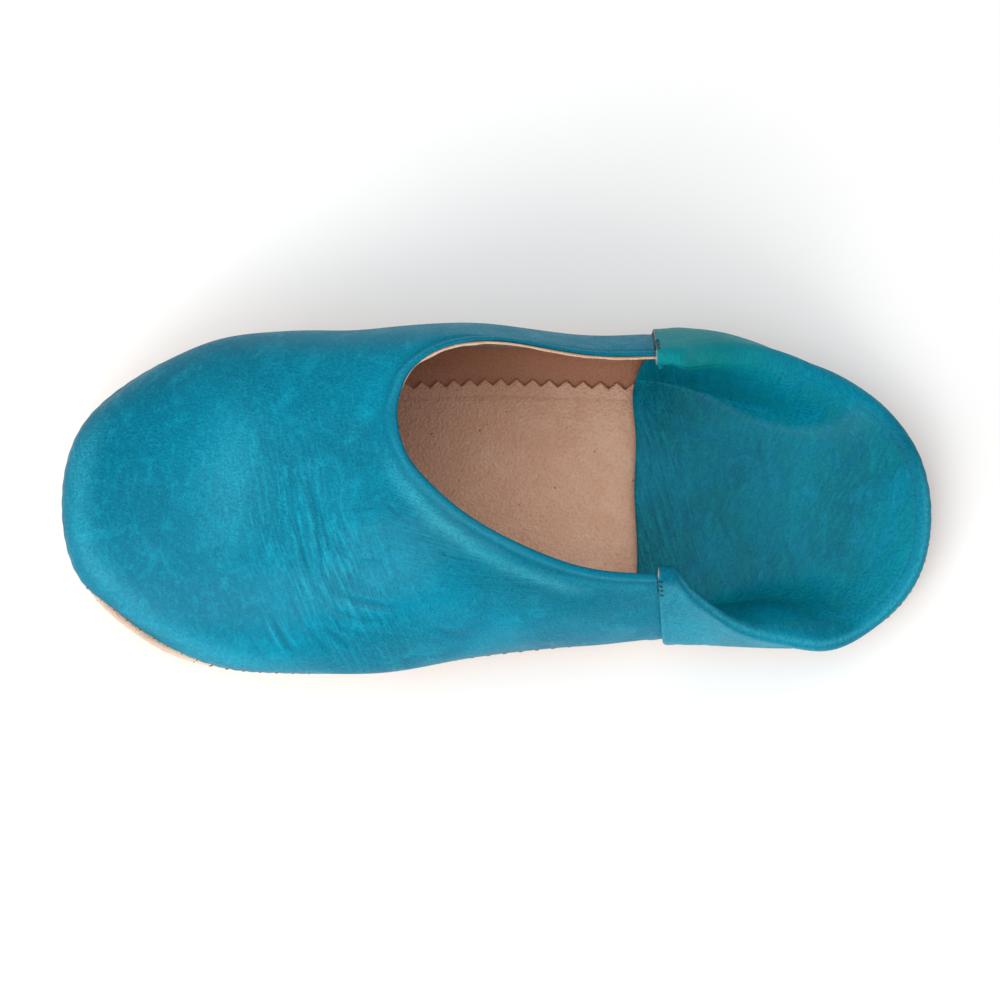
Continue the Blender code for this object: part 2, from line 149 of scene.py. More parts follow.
# The vamp above the stitch line. Each row starts at a side and a station of the stitch line and ends on
# the throat: station, half ball widths across, share of the instep height. Lean is the angle outwards
# at the stitch line and slope the angle above level at the throat, in degrees. Rise and reach are how
# far each of the two holds, as shares of the straight way between them.
NEAR, FAR = -1, 1
UPPER_ROWS = (
    # side, station, top station, top across, top height, lean, rise, slope, reach
    (FAR, 0.690, 0.690, 0.79, 0.785, 9.0, 0.35, 61.0, 0.35),
    (FAR, 0.600, 0.602, 0.77, 0.865, 8.0, 0.35, 65.0, 0.35),
    (FAR, 0.500, 0.510, 0.82, 0.972, 7.0, 0.38, 68.0, 0.32),
    (FAR, 0.400, 0.445, 0.79, 0.988, 8.0, 0.40, 48.0, 0.34),
    (FAR, 0.290, 0.405, 0.68, 0.970, 10.0, 0.32, 31.0, 0.45),
    (FAR, 0.160, 0.389, 0.56, 0.957, 10.0, 0.20, 23.0, 0.58),
    (FAR, 0.050, 0.383, 0.45, 0.952, 6.0, 0.15, 21.0, 0.72),
    (NEAR, 0.000, 0.382, 0.375, 0.951, 4.0, 0.14, 20.5, 0.79),
    (NEAR, 0.050, 0.384, 0.29, 0.952, 6.0, 0.14, 21.0, 0.72),
    (NEAR, 0.160, 0.391, 0.17, 0.955, 12.0, 0.18, 22.0, 0.58),
    (NEAR, 0.290, 0.415, -0.01, 0.972, 18.0, 0.29, 25.0, 0.45),
    (NEAR, 0.400, 0.468, -0.25, 0.978, 18.0, 0.33, 34.0, 0.40),
    (NEAR, 0.500, 0.535, -0.43, 0.938, 16.0, 0.35, 48.0, 0.38),
    (NEAR, 0.600, 0.610, -0.54, 0.860, 14.0, 0.35, 60.0, 0.35),
    (NEAR, 0.690, 0.690, -0.55, 0.785, 12.0, 0.35, 68.0, 0.35),
)

# The counter behind the seam, up to where it starts to roll over. Inset is how far inwards of the
# stitch line that is, in half ball widths, and height how far above it, as a share of the instep height.
COUNTER_ROWS = (
    # side, station, inset, height, lean, rise, slope, reach
    (NEAR, 0.735, 0.100, 0.488, 10.0, 0.35, 76.0, 0.35),
    (NEAR, 0.780, -0.015, 0.380, 9.0, 0.35, 84.0, 0.35),
    (NEAR, 0.830, -0.040, 0.265, 9.0, 0.35, 92.0, 0.35),
    (NEAR, 0.875, -0.055, 0.190, 9.0, 0.35, 94.0, 0.35),
    (NEAR, 0.920, -0.020, 0.105, 5.0, 0.35, 92.0, 0.35),
    (NEAR, 0.960, 0.000, 0.050, 0.0, 0.35, 90.0, 0.35),
    (NEAR, 1.000, 0.000, 0.014, 0.0, 0.35, 90.0, 0.35),
    (FAR, 0.960, 0.000, 0.050, 0.0, 0.35, 90.0, 0.35),
    (FAR, 0.920, 0.000, 0.105, 5.0, 0.35, 90.0, 0.35),
    (FAR, 0.875, 0.010, 0.190, 8.0, 0.35, 88.0, 0.35),
    (FAR, 0.830, 0.030, 0.265, 9.0, 0.35, 84.0, 0.35),
    (FAR, 0.780, 0.080, 0.380, 9.0, 0.35, 68.0, 0.35),
    (FAR, 0.735, 0.140, 0.488, 9.0, 0.35, 60.0, 0.35),
)

# The free front edge of the trodden-down sheet: share of the way round the counter, station,
# half ball widths across, share of the instep height. A height of 0 lies on the insole.
FLAP_EDGE = (
    (0.00, 0.683, -0.455, 0.74),
    (0.08, 0.679, -0.58, 0.52),
    (0.15, 0.673, -0.66, 0.31),
    (0.21, 0.667, -0.64, 0.16),
    (0.27, 0.663, -0.57, 0.00),
    (0.40, 0.664, -0.23, 0.00),
    (0.50, 0.661, 0.12, 0.00),
    (0.60, 0.663, 0.42, 0.00),
    (0.73, 0.660, 0.74, 0.00),
    (0.79, 0.666, 0.83, 0.18),
    (0.85, 0.673, 0.86, 0.33),
    (0.92, 0.680, 0.82, 0.52),
    (1.00, 0.686, 0.72, 0.74),
)

# How far the trodden-down sheet holds its directions, as a share of the straight way, and through how
# many degrees the rim rolls over before it, at the sides and at the heel
SHEET_HOLD = 0.34
ROLL_TURN = 158.0
HEEL_ROLL_TURN = 118.0

# How many points trace each side of the stitch line
TRACE_POINTS = 1200

HALF_BALL = BALL_WIDTH / 2
REST_ALONG = LENGTH * (SEAT_FLAT[0] + SEAT_FLAT[1]) / 2
UP = np.array((0.0, 0.0, 1.0))
BACK = np.array((1.0, 0.0, 0.0))


def spline(knots, values):
    """The natural cubic spline through rows of values, as a function of the knot."""
    knots = np.asarray(knots, float)
    values = np.asarray(values, float)
    gaps = np.diff(knots)[:, None]
    slopes = np.diff(values, axis=0) / gaps
    count = len(knots)
    matrix = np.eye(count)
    right = np.zeros_like(values)
    for i in range(1, count - 1):
        matrix[i, i - 1] = gaps[i - 1, 0]
        matrix[i, i] = 2 * (gaps[i - 1, 0] + gaps[i, 0])
        matrix[i, i + 1] = gaps[i, 0]
        right[i] = 6 * (slopes[i] - slopes[i - 1])
    bends = np.linalg.solve(matrix, right)

    def curve(at):
        at = np.atleast_1d(np.asarray(at, float))
        i = np.clip(np.searchsorted(knots, at) - 1, 0, count - 2)
        gap = gaps[i]
        past = (at - knots[i])[:, None]
        left = gap - past
        bent = (bends[i] * left**3 + bends[i + 1] * past**3) / (6 * gap)
        return (bent + (values[i] / gap - bends[i] * gap / 6) * left
                + (values[i + 1] / gap - bends[i + 1] * gap / 6) * past)

    return curve


def closed_spline(knots, values, period):
    """A spline that runs on smoothly from its last row to its first."""
    knots = np.asarray(knots, float)
    values = np.asarray(values, float)
    before, after = slice(-CLOSING_KNOTS, None), slice(None, CLOSING_KNOTS)
    knots = np.concatenate((knots[before] - period, knots, knots[after] + period))
    values = np.concatenate((values[before], values, values[after]))
    return spline(knots, values)


def unit(vectors):
    return vectors / np.linalg.norm(vectors, axis=-1, keepdims=True)


def traced_sides():
    """The stitch line from above as two dense runs of points from the toe tip to the heel tip."""
    rows = np.array(OUTLINE)
    toe = [(0.0, TOE_ACROSS)]
    heel = [(1.0, HEEL_ACROSS)]
    near = [(row[0], row[1]) for row in rows]
    far = [(row[0], row[2]) for row in rows[::-1]]
    points = np.array(toe + near + heel + far) * (LENGTH, HALF_BALL)
    steps = np.linalg.norm(np.diff(points, axis=0, append=points[:1]), axis=1)
    knots = np.concatenate(((0.0,), np.cumsum(steps)))
    curve = closed_spline(knots[:-1], points, knots[-1])
    heel_knot = knots[1 + len(rows)]
    near_run = curve(np.linspace(0.0, heel_knot, TRACE_POINTS))
    far_run = curve(np.linspace(knots[-1], heel_knot, TRACE_POINTS))
    return {NEAR: near_run, FAR: far_run}


SIDES = traced_sides()


def side_lengths(run):
    steps = np.linalg.norm(np.diff(run, axis=0), axis=1)
    return np.concatenate(((0.0,), np.cumsum(steps)))


def way_of(side, station):
    """Where a station of one side lies: 0 at the toe tip, +1 or -1 at the heel tip."""
    run = SIDES[side]
    lengths = side_lengths(run)
    reached = np.interp(station * LENGTH, run[:, 0], lengths)
    return -side * reached / lengths[-1]


def seam_ways():
    return way_of(FAR, SEAM_STATION), way_of(NEAR, SEAM_STATION)


def stitch_plan(way):
    """Points of the stitch line from above. Positive ways run along the near side."""
    way = np.asarray(way, float)
    way = (way + 1) % 2 - 1
    plan = np.empty(way.shape + (2,))
    for side, run in SIDES.items():
        lengths = side_lengths(run) / side_lengths(run)[-1]
        here = (way >= 0) if side == NEAR else (way < 0)
        for axis in (0, 1):
            plan[here, axis] = np.interp(np.abs(way[here]), lengths, run[:, axis])
    return plan


def outward(way):
    """The level direction straight out of the stitch line."""
    along = unit(stitch_plan(way + WAY_STEP) - stitch_plan(way - WAY_STEP))
    return np.stack((along[..., 1], -along[..., 0], np.zeros_like(along[..., 0])), axis=-1)


def sole_bottom(along):
    """Height of the sole's underside over the floor."""
    station = np.asarray(along) / LENGTH
    toe = np.clip((BALL_FLAT[0] - station) / BALL_FLAT[0], 0.0, 1.0)
    heel = np.clip((station - SEAT_FLAT[1]) / (1 - SEAT_FLAT[1]), 0.0, 1.0)
    arch = np.clip((station - BALL_FLAT[1]) / (SEAT_FLAT[0] - BALL_FLAT[1]), 0.0, 1.0)
    return (TOE_SPRING * toe**TOE_CURVE + HEEL_SPRING * heel**HEEL_CURVE
            + ARCH_LIFT * np.sin(math.pi * arch) ** 2)


def sole_slope(along):
    """Angle of the underside along the shoe."""
    rise = sole_bottom(along + SLOPE_STEP) - sole_bottom(along - SLOPE_STEP)
    return np.arctan(rise / (2 * SLOPE_STEP))


def over_sole(plan, height):
    """Points at a height over the flat of the underside, square to it."""
    slope = sole_slope(plan[:, 0])
    lift = np.column_stack((-np.sin(slope), np.zeros_like(slope), np.cos(slope))) * height
    return np.column_stack((plan, sole_bottom(plan[:, 0]))) + lift


BAND_CURVE = spline([row[0] for row in BAND], [(row[1],) for row in BAND])


def band_height(along):
    """Height of the sole's side, from its underside to the stitch line."""
    station = np.clip(np.asarray(along) / LENGTH, 0.0, 1.0)
    return BAND_HEIGHT * BAND_CURVE(station.ravel())[:, 0].reshape(station.shape)


def corner_size(along):
    """Height and width of the turned-up corner, under the sole's upright edge.

    A low side turns up tightly, but no tighter than the leather's own thickness.
    """
    height = band_height(along) - EDGE_UPRIGHT
    return height, np.minimum(DISH_CORNER, height**2 / (SOLE_WALL * CORNER_TIGHTNESS))


def stitch_line(way):
    """Points of the stitch line in space, on the outer face of the sole."""
    plan = stitch_plan(way)
    height = sole_bottom(plan[..., 0]) + band_height(plan[..., 0])
    return np.concatenate((plan, height[..., None]), axis=-1)


def upper_rows():
    """The vamp's rows as ways round the shoe and real sizes, from the far seam to the near seam."""
    ways, values = [], []
    for side, station, top_station, across, height, lean, rise, slope, reach in UPPER_ROWS:
        ways.append(way_of(side, station))
        values.append((top_station * LENGTH, across * HALF_BALL, height * INSTEP_HEIGHT,
                       math.radians(lean), rise, math.radians(slope), reach))
    return ways, values


UPPER_CURVE = spline(*upper_rows())


def counter_rows():
    """The counter's rows as ways and real sizes. The vamp's last two rows lead in and out of them."""
    ways, values = [], []
    upper_ways, upper_values = upper_rows()
    for way, row in zip(upper_ways, upper_values):
        if abs(way) >= min(abs(upper_ways[1]), abs(upper_ways[-2])):
            offset = np.array(row[:3]) - stitch_line(np.array([way]))[0]
            ways.append(way if way > 0 else way + 2)
            values.append((-offset[:2] @ outward(np.array([way]))[0, :2], offset[2], *row[3:]))
    for side, station, inset, height, lean, rise, slope, reach in COUNTER_ROWS:
        way = way_of(side, station)
        ways.append(way if way > 0 else way + 2)
        values.append((inset * HALF_BALL, height * INSTEP_HEIGHT, math.radians(lean), rise,
                       math.radians(slope), reach))
    order = np.argsort(ways)
    return np.array(ways)[order], np.array(values)[order]


COUNTER_CURVE = spline(*counter_rows())


def wall_lines(way, top, inward, lean, rise, slope, reach):
    """Foot, both holds, top and the two directions at the top of the wall at each way."""
    foot = stitch_line(way) + CLEARANCE * UP
    span = np.linalg.norm(top - foot, axis=1)
    start = outward(way) * np.sin(lean)[:, None] + UP * np.cos(lean)[:, None]
    end = inward * np.cos(slope)[:, None] + UP * np.sin(slope)[:, None]
    over = inward * np.sin(slope)[:, None] - UP * np.cos(slope)[:, None]
    first_hold = foot + start * (rise * span)[:, None]
    last_hold = top - end * (reach * span)[:, None]
    return foot, first_hold, last_hold, top, end, over


def upper_lines(way):
    values = UPPER_CURVE(way)
    top = values[:, :3]
    inward = top - stitch_line(way)
    inward[:, 2] = 0.0
    return wall_lines(way, top, unit(inward), *values[:, 3:].T)


def ramp(value, start, end):
    """0 up to the start and 1 from the end, with a smooth way between. Either may be the greater."""
    share = np.clip((value - start) / (end - start), 0.0, 1.0)
    return share**2 * (3 - 2 * share)


def vamp_way(way):
    """A way as the vamp counts it. The counter's ways run on past 1 at the heel tip."""
    return np.where(way > 1, way - 2, way)


def leaves_seam(way):
    """0 where the counter laps the vamp, rising to 1 where it has left the vamp's shape."""
    far_way, near_way = seam_ways()
    ways_past_seam = np.where(way > 1, far_way - vamp_way(way), vamp_way(way) - near_way)
    past_seam = ways_past_seam * side_lengths(SIDES[NEAR])[-1]
    leaves = LEAVE_AFTER * LAP_LENGTH
    return ramp(past_seam, leaves, leaves + SEAM_BLEND)[:, None]


def counter_lines(way):
    """The counter's wall lines. Where it laps the vamp they are the vamp's own."""
    values = COUNTER_CURVE(way)
    inward = -outward(way)
    top = stitch_line(way) + inward * values[:, :1] + UP * values[:, 1:2]
    own_lines = wall_lines(way, top, inward, *values[:, 2:].T)
    reach = (way_of(FAR, SHARED_STATION), way_of(NEAR, SHARED_STATION))
    vamp_lines = upper_lines(np.clip(vamp_way(way), *reach))
    leave = leaves_seam(way)
    return [vamp + (own - vamp) * leave for vamp, own in zip(vamp_lines, own_lines)]


def bezier(first, second, third, last, shares):
    """Points of cubic curves, one curve a row and one share a column."""
    t = np.asarray(shares)[None, :, None]
    a, b, c, d = (p[:, None, :] for p in (first, second, third, last))
    return a * (1 - t) ** 3 + b * 3 * t * (1 - t) ** 2 + c * 3 * t**2 * (1 - t) + d * t**3


def grid_normals(points):
    """Unit normals of a grid of points, out of the shoe's wall."""
    along = np.gradient(points, axis=0)
    across = np.gradient(points, axis=1)
    return unit(np.cross(along, across))


def lying_height(points):
    """Height of the top face of leather that lies in the dish, on the insole or on its corner."""
    edge = np.concatenate([SIDES[NEAR], SIDES[FAR]])
    apart = np.linalg.norm(points[..., None, :2] - edge, axis=-1)
    nearest = edge[np.argmin(apart, axis=-1), 0]
    inset = np.clip(np.min(apart, axis=-1), SOLE_WALL, None)
    height, width = corner_size(nearest)
    up_corner = np.clip((width - inset) / (width - SOLE_WALL), 0.0, 1.0)
    rise = (height - SOLE_WALL) * (1 - np.sqrt(1 - up_corner**2))
    layers = SOLE_WALL + INSOLE_WALL + COUNTER_WALL + 2 * CLEARANCE
    return sole_bottom(points[..., 0]) + rise + layers / np.cos(sole_slope(points[..., 0]))


def world(points):
    """From lengths measured from the toe tip to the shoe's own frame."""
    return np.asarray(points) - (REST_ALONG, 0.0, 0.0)


MM = 0.001

# How finely the looks are divided: ways round the shoe, then steps up or across
VAMP_STEPS = (540, 150)
LINING_STEPS = (260, 90)
COUNTER_STEPS = 360
WALL_STEPS = 50
ROLL_STEPS = 26
SHEET_STEPS = 130
SOLE_WAYS = 660
BOTTOM_STEPS = 26
CORNER_STEPS = 14
TOOTH_SAMPLES = 8
INSOLE_RINGS = 44
EDGE_ROUND = 6
BACK_STRIDE = 4
CREASE_SAMPLES = 40
THREAD_SIDES = 8
THREAD_STEPS = 10

# The outer leather of the vamp and the lining glued behind it. Where the vamp's edge is folded in, it
# is as thick as the solid's wall, and how far from the rim that reaches.
VAMP_LEATHER = 0.0010
LINING_LEATHER = 0.0007
FOLD_REACH = 0.005

# How far the rounded edge of a sheet runs on over its back, and over how many of the loops round the
# edge the bare leather comes out
TUCK = 0.0014
BARE_LOOPS = 1.5

# The fold at the top of the counter's sides: pressed sharp on the near side, and wider on the far
# side, where it turns through fewer degrees
SHARP_ROLL_RADIUS = 0.0019
FAR_ROLL_RADIUS = 0.0040
FAR_ROLL_TURN = 126.0

# How softly the trodden-down sheet meets what it lies on, and over how many steps to each side its
# height is averaged there
SOFT_LANDING = 0.0036
EASED_STEPS = 24

# The bead along the throat and the groove behind it: distance from the rim, width, height
BEAD = (0.0011, 0.0011, 0.00024)
GROOVE = (0.0031, 0.0008, -0.00028)

# Where a highlight is painted on the vamp beside the throat: station of the rim, distance from the rim
SHEEN_STATIONS = (0.38, 0.42, 0.50, 0.58)
SHEEN_PLACES = (0.0055, 0.0062, 0.0080, 0.0095)
SHEEN_WIDTH = 0.0026

# The leather's slow unevenness: length in mm, direction in degrees, start, height in mm
WAVES = (
    (67, 20, 0.3, 0.30),
    (47, 75, 1.9, 0.24),
    (38, 130, 4.1, 0.20),
    (24, 48, 2.2, 0.10),
    (19, 105, 5.0, 0.07),
)

# Creases as troughs between low ridges: points along and across in mm, width and depth in mm
VAMP_CREASES = (
    (((46, 19), (46, 8), (44, -6)), 1.22, 0.16),
    (((48, 10), (52, -1), (54, -10)), 1.09, 0.21),
    (((62, 10), (66, 0), (68, -12), (73, -25)), 1.02, 0.26),
    (((74, 9), (78, -4), (80, -17), (82, -33)), 1.16, 0.42),
    (((80, -5), (82, -14), (85, -24)), 1.09, 0.37),
    (((72, -2), (74, -15), (77, -27), (81, -40)), 1.02, 0.32),
    (((82, -35), (87, -38), (96, -40), (109, -38)), 1.00, 0.24),
    (((84, -41), (91, -43), (99, -44), (108, -44)), 0.95, 0.16),
    (((65, -37), (68, -44), (73, -50)), 1.29, 0.47),
    (((69, -31), (73, -37), (76, -44)), 1.09, 0.26),
    (((56, -40), (60, -47), (65, -51)), 1.09, 0.21),
    (((60, -35), (64, -44), (69, -51)), 1.02, 0.21),
    (((84, 8), (92, 6), (101, 4)), 1.02, 0.21),
    (((85, -8), (95, -8), (102, -8)), 0.95, 0.21),
    (((99, -4), (102, -8), (107, -12)), 0.95, 0.19),
    (((90, 17), (94, 15), (99, 11)), 1.02, 0.16),
    (((79, 20), (79, 11), (78, 2)), 0.95, 0.16),
    (((87, -23), (95, -23), (101, -24)), 0.95, 0.21),
    (((82, -28), (88, -33), (98, -36), (109, -37)), 1.16, 0.29),
    (((100, -10), (101, -17), (101, -24)), 0.88, 0.16),
    (((80, -40), (86, -45), (93, -49)), 1.16, 0.29),
    (((74, -39), (80, -46), (88, -51)), 1.09, 0.23),
    (((68, 3), (70, -7), (73, -18)), 0.95, 0.21),
    (((84, -10), (86, -18), (88, -28)), 0.95, 0.21),
    (((108, -41), (121, -44), (130, -45)), 1.36, 0.21),
)
FLAP_CREASES = (
    (((181, 9), (184, -2), (188, -17)), 1.02, 0.26),
    (((184, 10), (187, -2), (192, -17)), 0.95, 0.21),
    (((186, 13), (188, 4), (191, -4)), 0.95, 0.17),
    (((215, 30), (217, 20), (218, 10)), 1.16, 0.21),
    (((216, 31), (213, 23), (211, 14)), 1.16, 0.16),
    (((203, 2), (206, -6), (210, -13)), 1.09, 0.21),
    (((206, 17), (203, 12), (202, 6)), 0.95, 0.13),
    (((222, -2), (226, -14), (229, -28)), 1.50, 0.16),
    (((227, 4), (233, -11), (238, -26)), 1.50, 0.13),
    (((182, 33), (185, 30), (186, 27)), 0.82, 0.16),
    (((180, -5), (182, -9), (185, -15)), 0.88, 0.21),
    (((189, 39), (196, 40), (203, 38)), 1.22, 0.13),
    (((206, 39), (208, 35), (210, 30)), 1.09, 0.13),
    (((192, 10), (194, 1), (197, -9)), 0.95, 0.15),
    (((209, -2), (213, -12), (216, -24)), 1.22, 0.13),
)

# How the upper's hem meets the sole, by station: how far it bulges out, how far it hangs over the
# sole's edge, how deep each stitch pulls it in, and how far the hem is scalloped between two stitches
HEM = (
    # station, bulge in mm, hang in mm, pull in mm, scallop as a share
    (0.00, 0.75, 0.60, 0.08, 0.12),
    (0.10, 0.65, 0.50, 0.08, 0.15),
    (0.22, 0.40, 0.25, 0.16, 0.35),
    (0.35, 0.30, 0.12, 0.18, 0.40),
    (0.66, 0.30, 0.12, 0.18, 0.40),
    (0.76, 0.65, 0.90, 0.00, 0.05),
    (0.84, 0.60, 0.80, 0.00, 0.05),
    (0.90, 0.30, 0.25, 0.15, 0.40),
    (1.00, 0.20, 0.12, 0.15, 0.50),
)

# How far up the wall the hem's shape reaches
HEM_REACH = 0.0028

# Where the sole shows beyond the vamp, at the near side of the toe: where this begins, is full, starts
# to end and ends, as stations. Then how far the vamp lies inside the sole's edge, over what height its
# wall leads out again, and how far the middle of each stitch is lifted there.
TOE_LEDGE = (0.010, 0.060, 0.090, 0.215)
LEDGE_DEPTH = 0.0027
LEDGE_FADE = 0.024
LEDGE_LIFT = 0.0007

# Stitches round the sole: their pitch, how far they reach over and under the seam and lean to each
# side, how far they stand out, and the stations between which the hem hides them
STITCH_PITCH = 0.0051
STITCH_RISE = 0.0010
STITCH_FALL = 0.0009
STITCH_LEAN = 0.0006
STITCH_STAND = 0.00012
THREAD_RADIUS = 0.00030
HIDDEN_STITCHES = (0.735, 0.865)

# Threads at the side seams: the pitch of the stitches over the counter's edge, how far down from its
# top they begin, how far they reach before and behind the edge, and the dashes below them
SEAM_PITCH = 0.0026
SEAM_TOP = 0.0095
SEAM_REACH = (0.0008, 0.0004)
DASH_PITCH = 0.0052
DASH_LENGTH = 0.0026
SEAM_THREAD_RADIUS = 0.00019

# How far the foot of the near seam lies behind its top, and how far this reaches round the shoe
SEAM_SLANT = 0.0034
SLANT_REACH = 0.030

# The torn edge of the lining on the far side: length of each wave, its start, its height in mm
TORN_EDGE = ((0.0113, 0.4, 0.20), (0.0071, 2.0, 0.16), (0.0233, 4.0, 0.22))

# Where the lining stands over the throat's rim: station, height in mm on the near and the far side
LINING_STAND = (
    (0.30, -1.6, -1.2),
    (0.41, -1.6, 0.2),
    (0.45, -1.6, 0.9),
    (0.52, -1.6, 1.2),
    (0.62, -1.6, 1.0),
    (0.69, -1.2, 0.5),
)


def slanted(points, from_seam, shares):
    """The near seam leans back towards its foot. Shares are the heights up the wall, 1 at the top."""
    fade = ramp(from_seam, SLANT_REACH, 0.0)[:, None]
    lean = SEAM_SLANT * fade * (1 - np.clip(shares, 0.0, 1.0))[None, :]
    return points + BACK * lean[..., None]


def upper_points(steps):
    """The vamp's outer face, from the far side seam round the toe to the near side seam."""
    lap = LAP_LENGTH / LENGTH
    first, last = way_of(FAR, SEAM_STATION + lap), way_of(NEAR, SEAM_STATION + lap)
    ways = np.linspace(first, last, steps[0] + 1)
    foot, first_hold, last_hold, top, end, _ = upper_lines(ways)
    shares = np.linspace(0.0, 1.0, steps[1] + 1)
    points = bezier(foot, first_hold, last_hold, top, shares)
    from_seam = (last - ways) * side_lengths(SIDES[NEAR])[-1]
    return ways, slanted(points, from_seam, shares), end


def eased(heights):
    """Each row of heights averaged over its neighbours, with both of its ends held."""
    weights = np.hanning(2 * EASED_STEPS + 3)[1:-1]
    wide = np.pad(heights, ((0, 0), (EASED_STEPS, EASED_STEPS)), mode="reflect", reflect_type="odd")
    count = heights.shape[1]
    total = sum(weight * wide[:, i:i + count] for i, weight in enumerate(weights))
    return total / weights.sum()


def counter_points():
    """The counter's outer face: up the wall, over the rolled rim and down on to the insole."""
    far_way, near_way = seam_ways()
    shares = np.linspace(0.0, 1.0, COUNTER_STEPS + 1)
    ways = near_way + shares * (far_way + 2 - near_way)
    from_heel = np.abs(2 * shares - 1)
    on_near = (shares < 0.5)[:, None]
    settle = ramp(from_heel, *SETTLE_SHARES)[:, None]
    leave = leaves_seam(ways)
    lap = HEEL_PROUD + settle * (COUNTER_WALL + CLEARANCE - HEEL_PROUD)
    side_radius = np.where(on_near, SHARP_ROLL_RADIUS, FAR_ROLL_RADIUS)
    radius = HEEL_ROLL_RADIUS + settle * (side_radius - HEEL_ROLL_RADIUS)
    radius = ROLL_RADIUS + leave * (radius - ROLL_RADIUS)
    side_turn = ROLL_TURN + leave * (np.where(on_near, ROLL_TURN, FAR_ROLL_TURN) - ROLL_TURN)
    turn = np.radians(HEEL_ROLL_TURN + settle * (side_turn - HEEL_ROLL_TURN))

    foot, first_hold, last_hold, top, end, over = counter_lines(ways)
    side = bezier(foot, first_hold, last_hold, top, np.linspace(0.0, 1.0, WALL_STEPS + 1))
    side = side + grid_normals(side) * lap[:, None, :]
    rim = side[:, -1] + end * RIM_STAND

    angle = turn * np.linspace(0.0, 1.0, ROLL_STEPS + 1)[None, :]
    centre = rim + over * radius
    roll = (centre[:, None, :] - (over * radius)[:, None, :] * np.cos(angle)[..., None]
            + (end * radius)[:, None, :] * np.sin(angle)[..., None])

    start = over * np.sin(turn) + end * np.cos(turn)
    edge_curve = spline([row[0] for row in FLAP_EDGE], [row[1:] for row in FLAP_EDGE])
    edge = edge_curve(shares) * (LENGTH, HALF_BALL, INSTEP_HEIGHT)
    edge[:, 2] = np.maximum(edge[:, 2], lying_height(edge))
    begin = roll[:, -1]
    hold = SHEET_HOLD * np.linalg.norm(edge - begin, axis=1, keepdims=True)
    sheet = bezier(begin, begin + start * hold, edge + BACK * hold, edge,
                   np.linspace(0.0, 1.0, SHEET_STEPS + 1))
    floor = np.stack([lying_height(row) for row in sheet])
    above = sheet[..., 2] - floor
    sheet[..., 2] = eased(floor + (above + np.sqrt(above**2 + SOFT_LANDING**2)) / 2)
    points = np.concatenate((side, roll, sheet[:, 1:]), axis=1)
    from_seam = (ways - near_way) * side_lengths(SIDES[NEAR])[-1]
    return ways, slanted(points, from_seam, np.arange(points.shape[1]) / WALL_STEPS)


def column_runs(points):
    """How far each point of a grid lies up its own line from the foot."""
    steps = np.linalg.norm(np.diff(points, axis=1), axis=2)
    return np.concatenate((np.zeros((len(points), 1)), np.cumsum(steps, axis=1)), axis=1)


def row_runs(points):
    """How far each point of a grid lies along its row from the first line."""
    steps = np.linalg.norm(np.diff(points, axis=0), axis=2)
    return np.concatenate((np.zeros((1, points.shape[1])), np.cumsum(steps, axis=0)), axis=0)


def bell(distance, width):
    return np.exp(-((distance / width) ** 2))


def undulation(points):
    """The slow unevenness of hand-worked leather."""
    along, across, up = np.moveaxis(points / MM, -1, 0)
    height = np.zeros(along.shape)
    for length, direction, start, size in WAVES:
        angle = math.radians(direction)
        run = along * math.cos(angle) + (across + up) * math.sin(angle)
        height += size * np.sin(2 * math.pi * run / length + start)
    return height * MM


def crease_heights(points, creases):
    """Soft troughs with a low ridge on both sides, fading out at their ends."""
    plan = points[..., :2].reshape(-1, 2) / MM
    height = np.zeros(len(plan))
    for places, width, depth in creases:
        knots = np.arange(len(places))
        curve = spline(knots, places)(np.linspace(0, knots[-1], CREASE_SAMPLES))
        low = curve.min(axis=0) - 3 * width
        high = curve.max(axis=0) + 3 * width
        here = np.flatnonzero(np.all((plan > low) & (plan < high), axis=1))
        apart = np.linalg.norm(plan[here, None] - curve[None], axis=2)
        distance = apart.min(axis=1) / width
        fade = np.sin(math.pi * (apart.argmin(axis=1) + 0.5) / CREASE_SAMPLES)
        height[here] -= depth * fade * (1 - distance**2) * np.exp(-(distance**2))
    return height.reshape(points.shape[:2]) * MM


STITCH_COUNTS = {side: int(round(side_lengths(run)[-1] / STITCH_PITCH)) for side, run in SIDES.items()}


def from_stitch(way):
    """How far round the seam the nearest stitch is: 0 at a stitch, 1 midway between two."""
    way = (way + 1) % 2 - 1
    count = np.where(way >= 0, STITCH_COUNTS[NEAR], STITCH_COUNTS[FAR])
    turn = np.abs(way) * count - 0.5
    return 2 * np.abs(turn - np.round(turn))


HEM_CURVE = spline([row[0] for row in HEM], [row[1:] for row in HEM])


def hem_moves(ways, runs):
    """How the stitches shape the hem: the way out of the wall and the way down, in metres."""
    station = np.clip(stitch_plan(ways)[:, 0] / LENGTH, 0.0, 1.0)
    bulge, hang, pull, scallop = np.clip(HEM_CURVE(station), 0.0, None).T[:, :, None]
    midway = np.sin(from_stitch(ways) * math.pi / 2)[:, None] ** 1.5
    full = 1 - scallop * (1 - midway)
    out = bell(runs, HEM_REACH) * (bulge * full - pull * (1 - midway)) * MM
    down = bell(runs, HEM_REACH / 2) * hang * full * MM
    return out - ledge(ways)[:, None] * ledge_fade(runs), down


def ledge_fade(runs):
    return ramp(runs, HEM_REACH + LEDGE_FADE, HEM_REACH)


def ledge(ways):
    """How far the vamp lies inside the sole's edge at each way."""
    begins, full, ends, gone = TOE_LEDGE
    station = stitch_plan(ways)[:, 0] / LENGTH
    depth = LEDGE_DEPTH * ramp(station, begins, full) * ramp(station, gone, ends)
    return np.where((ways + 1) % 2 > 1, depth, 0.0)


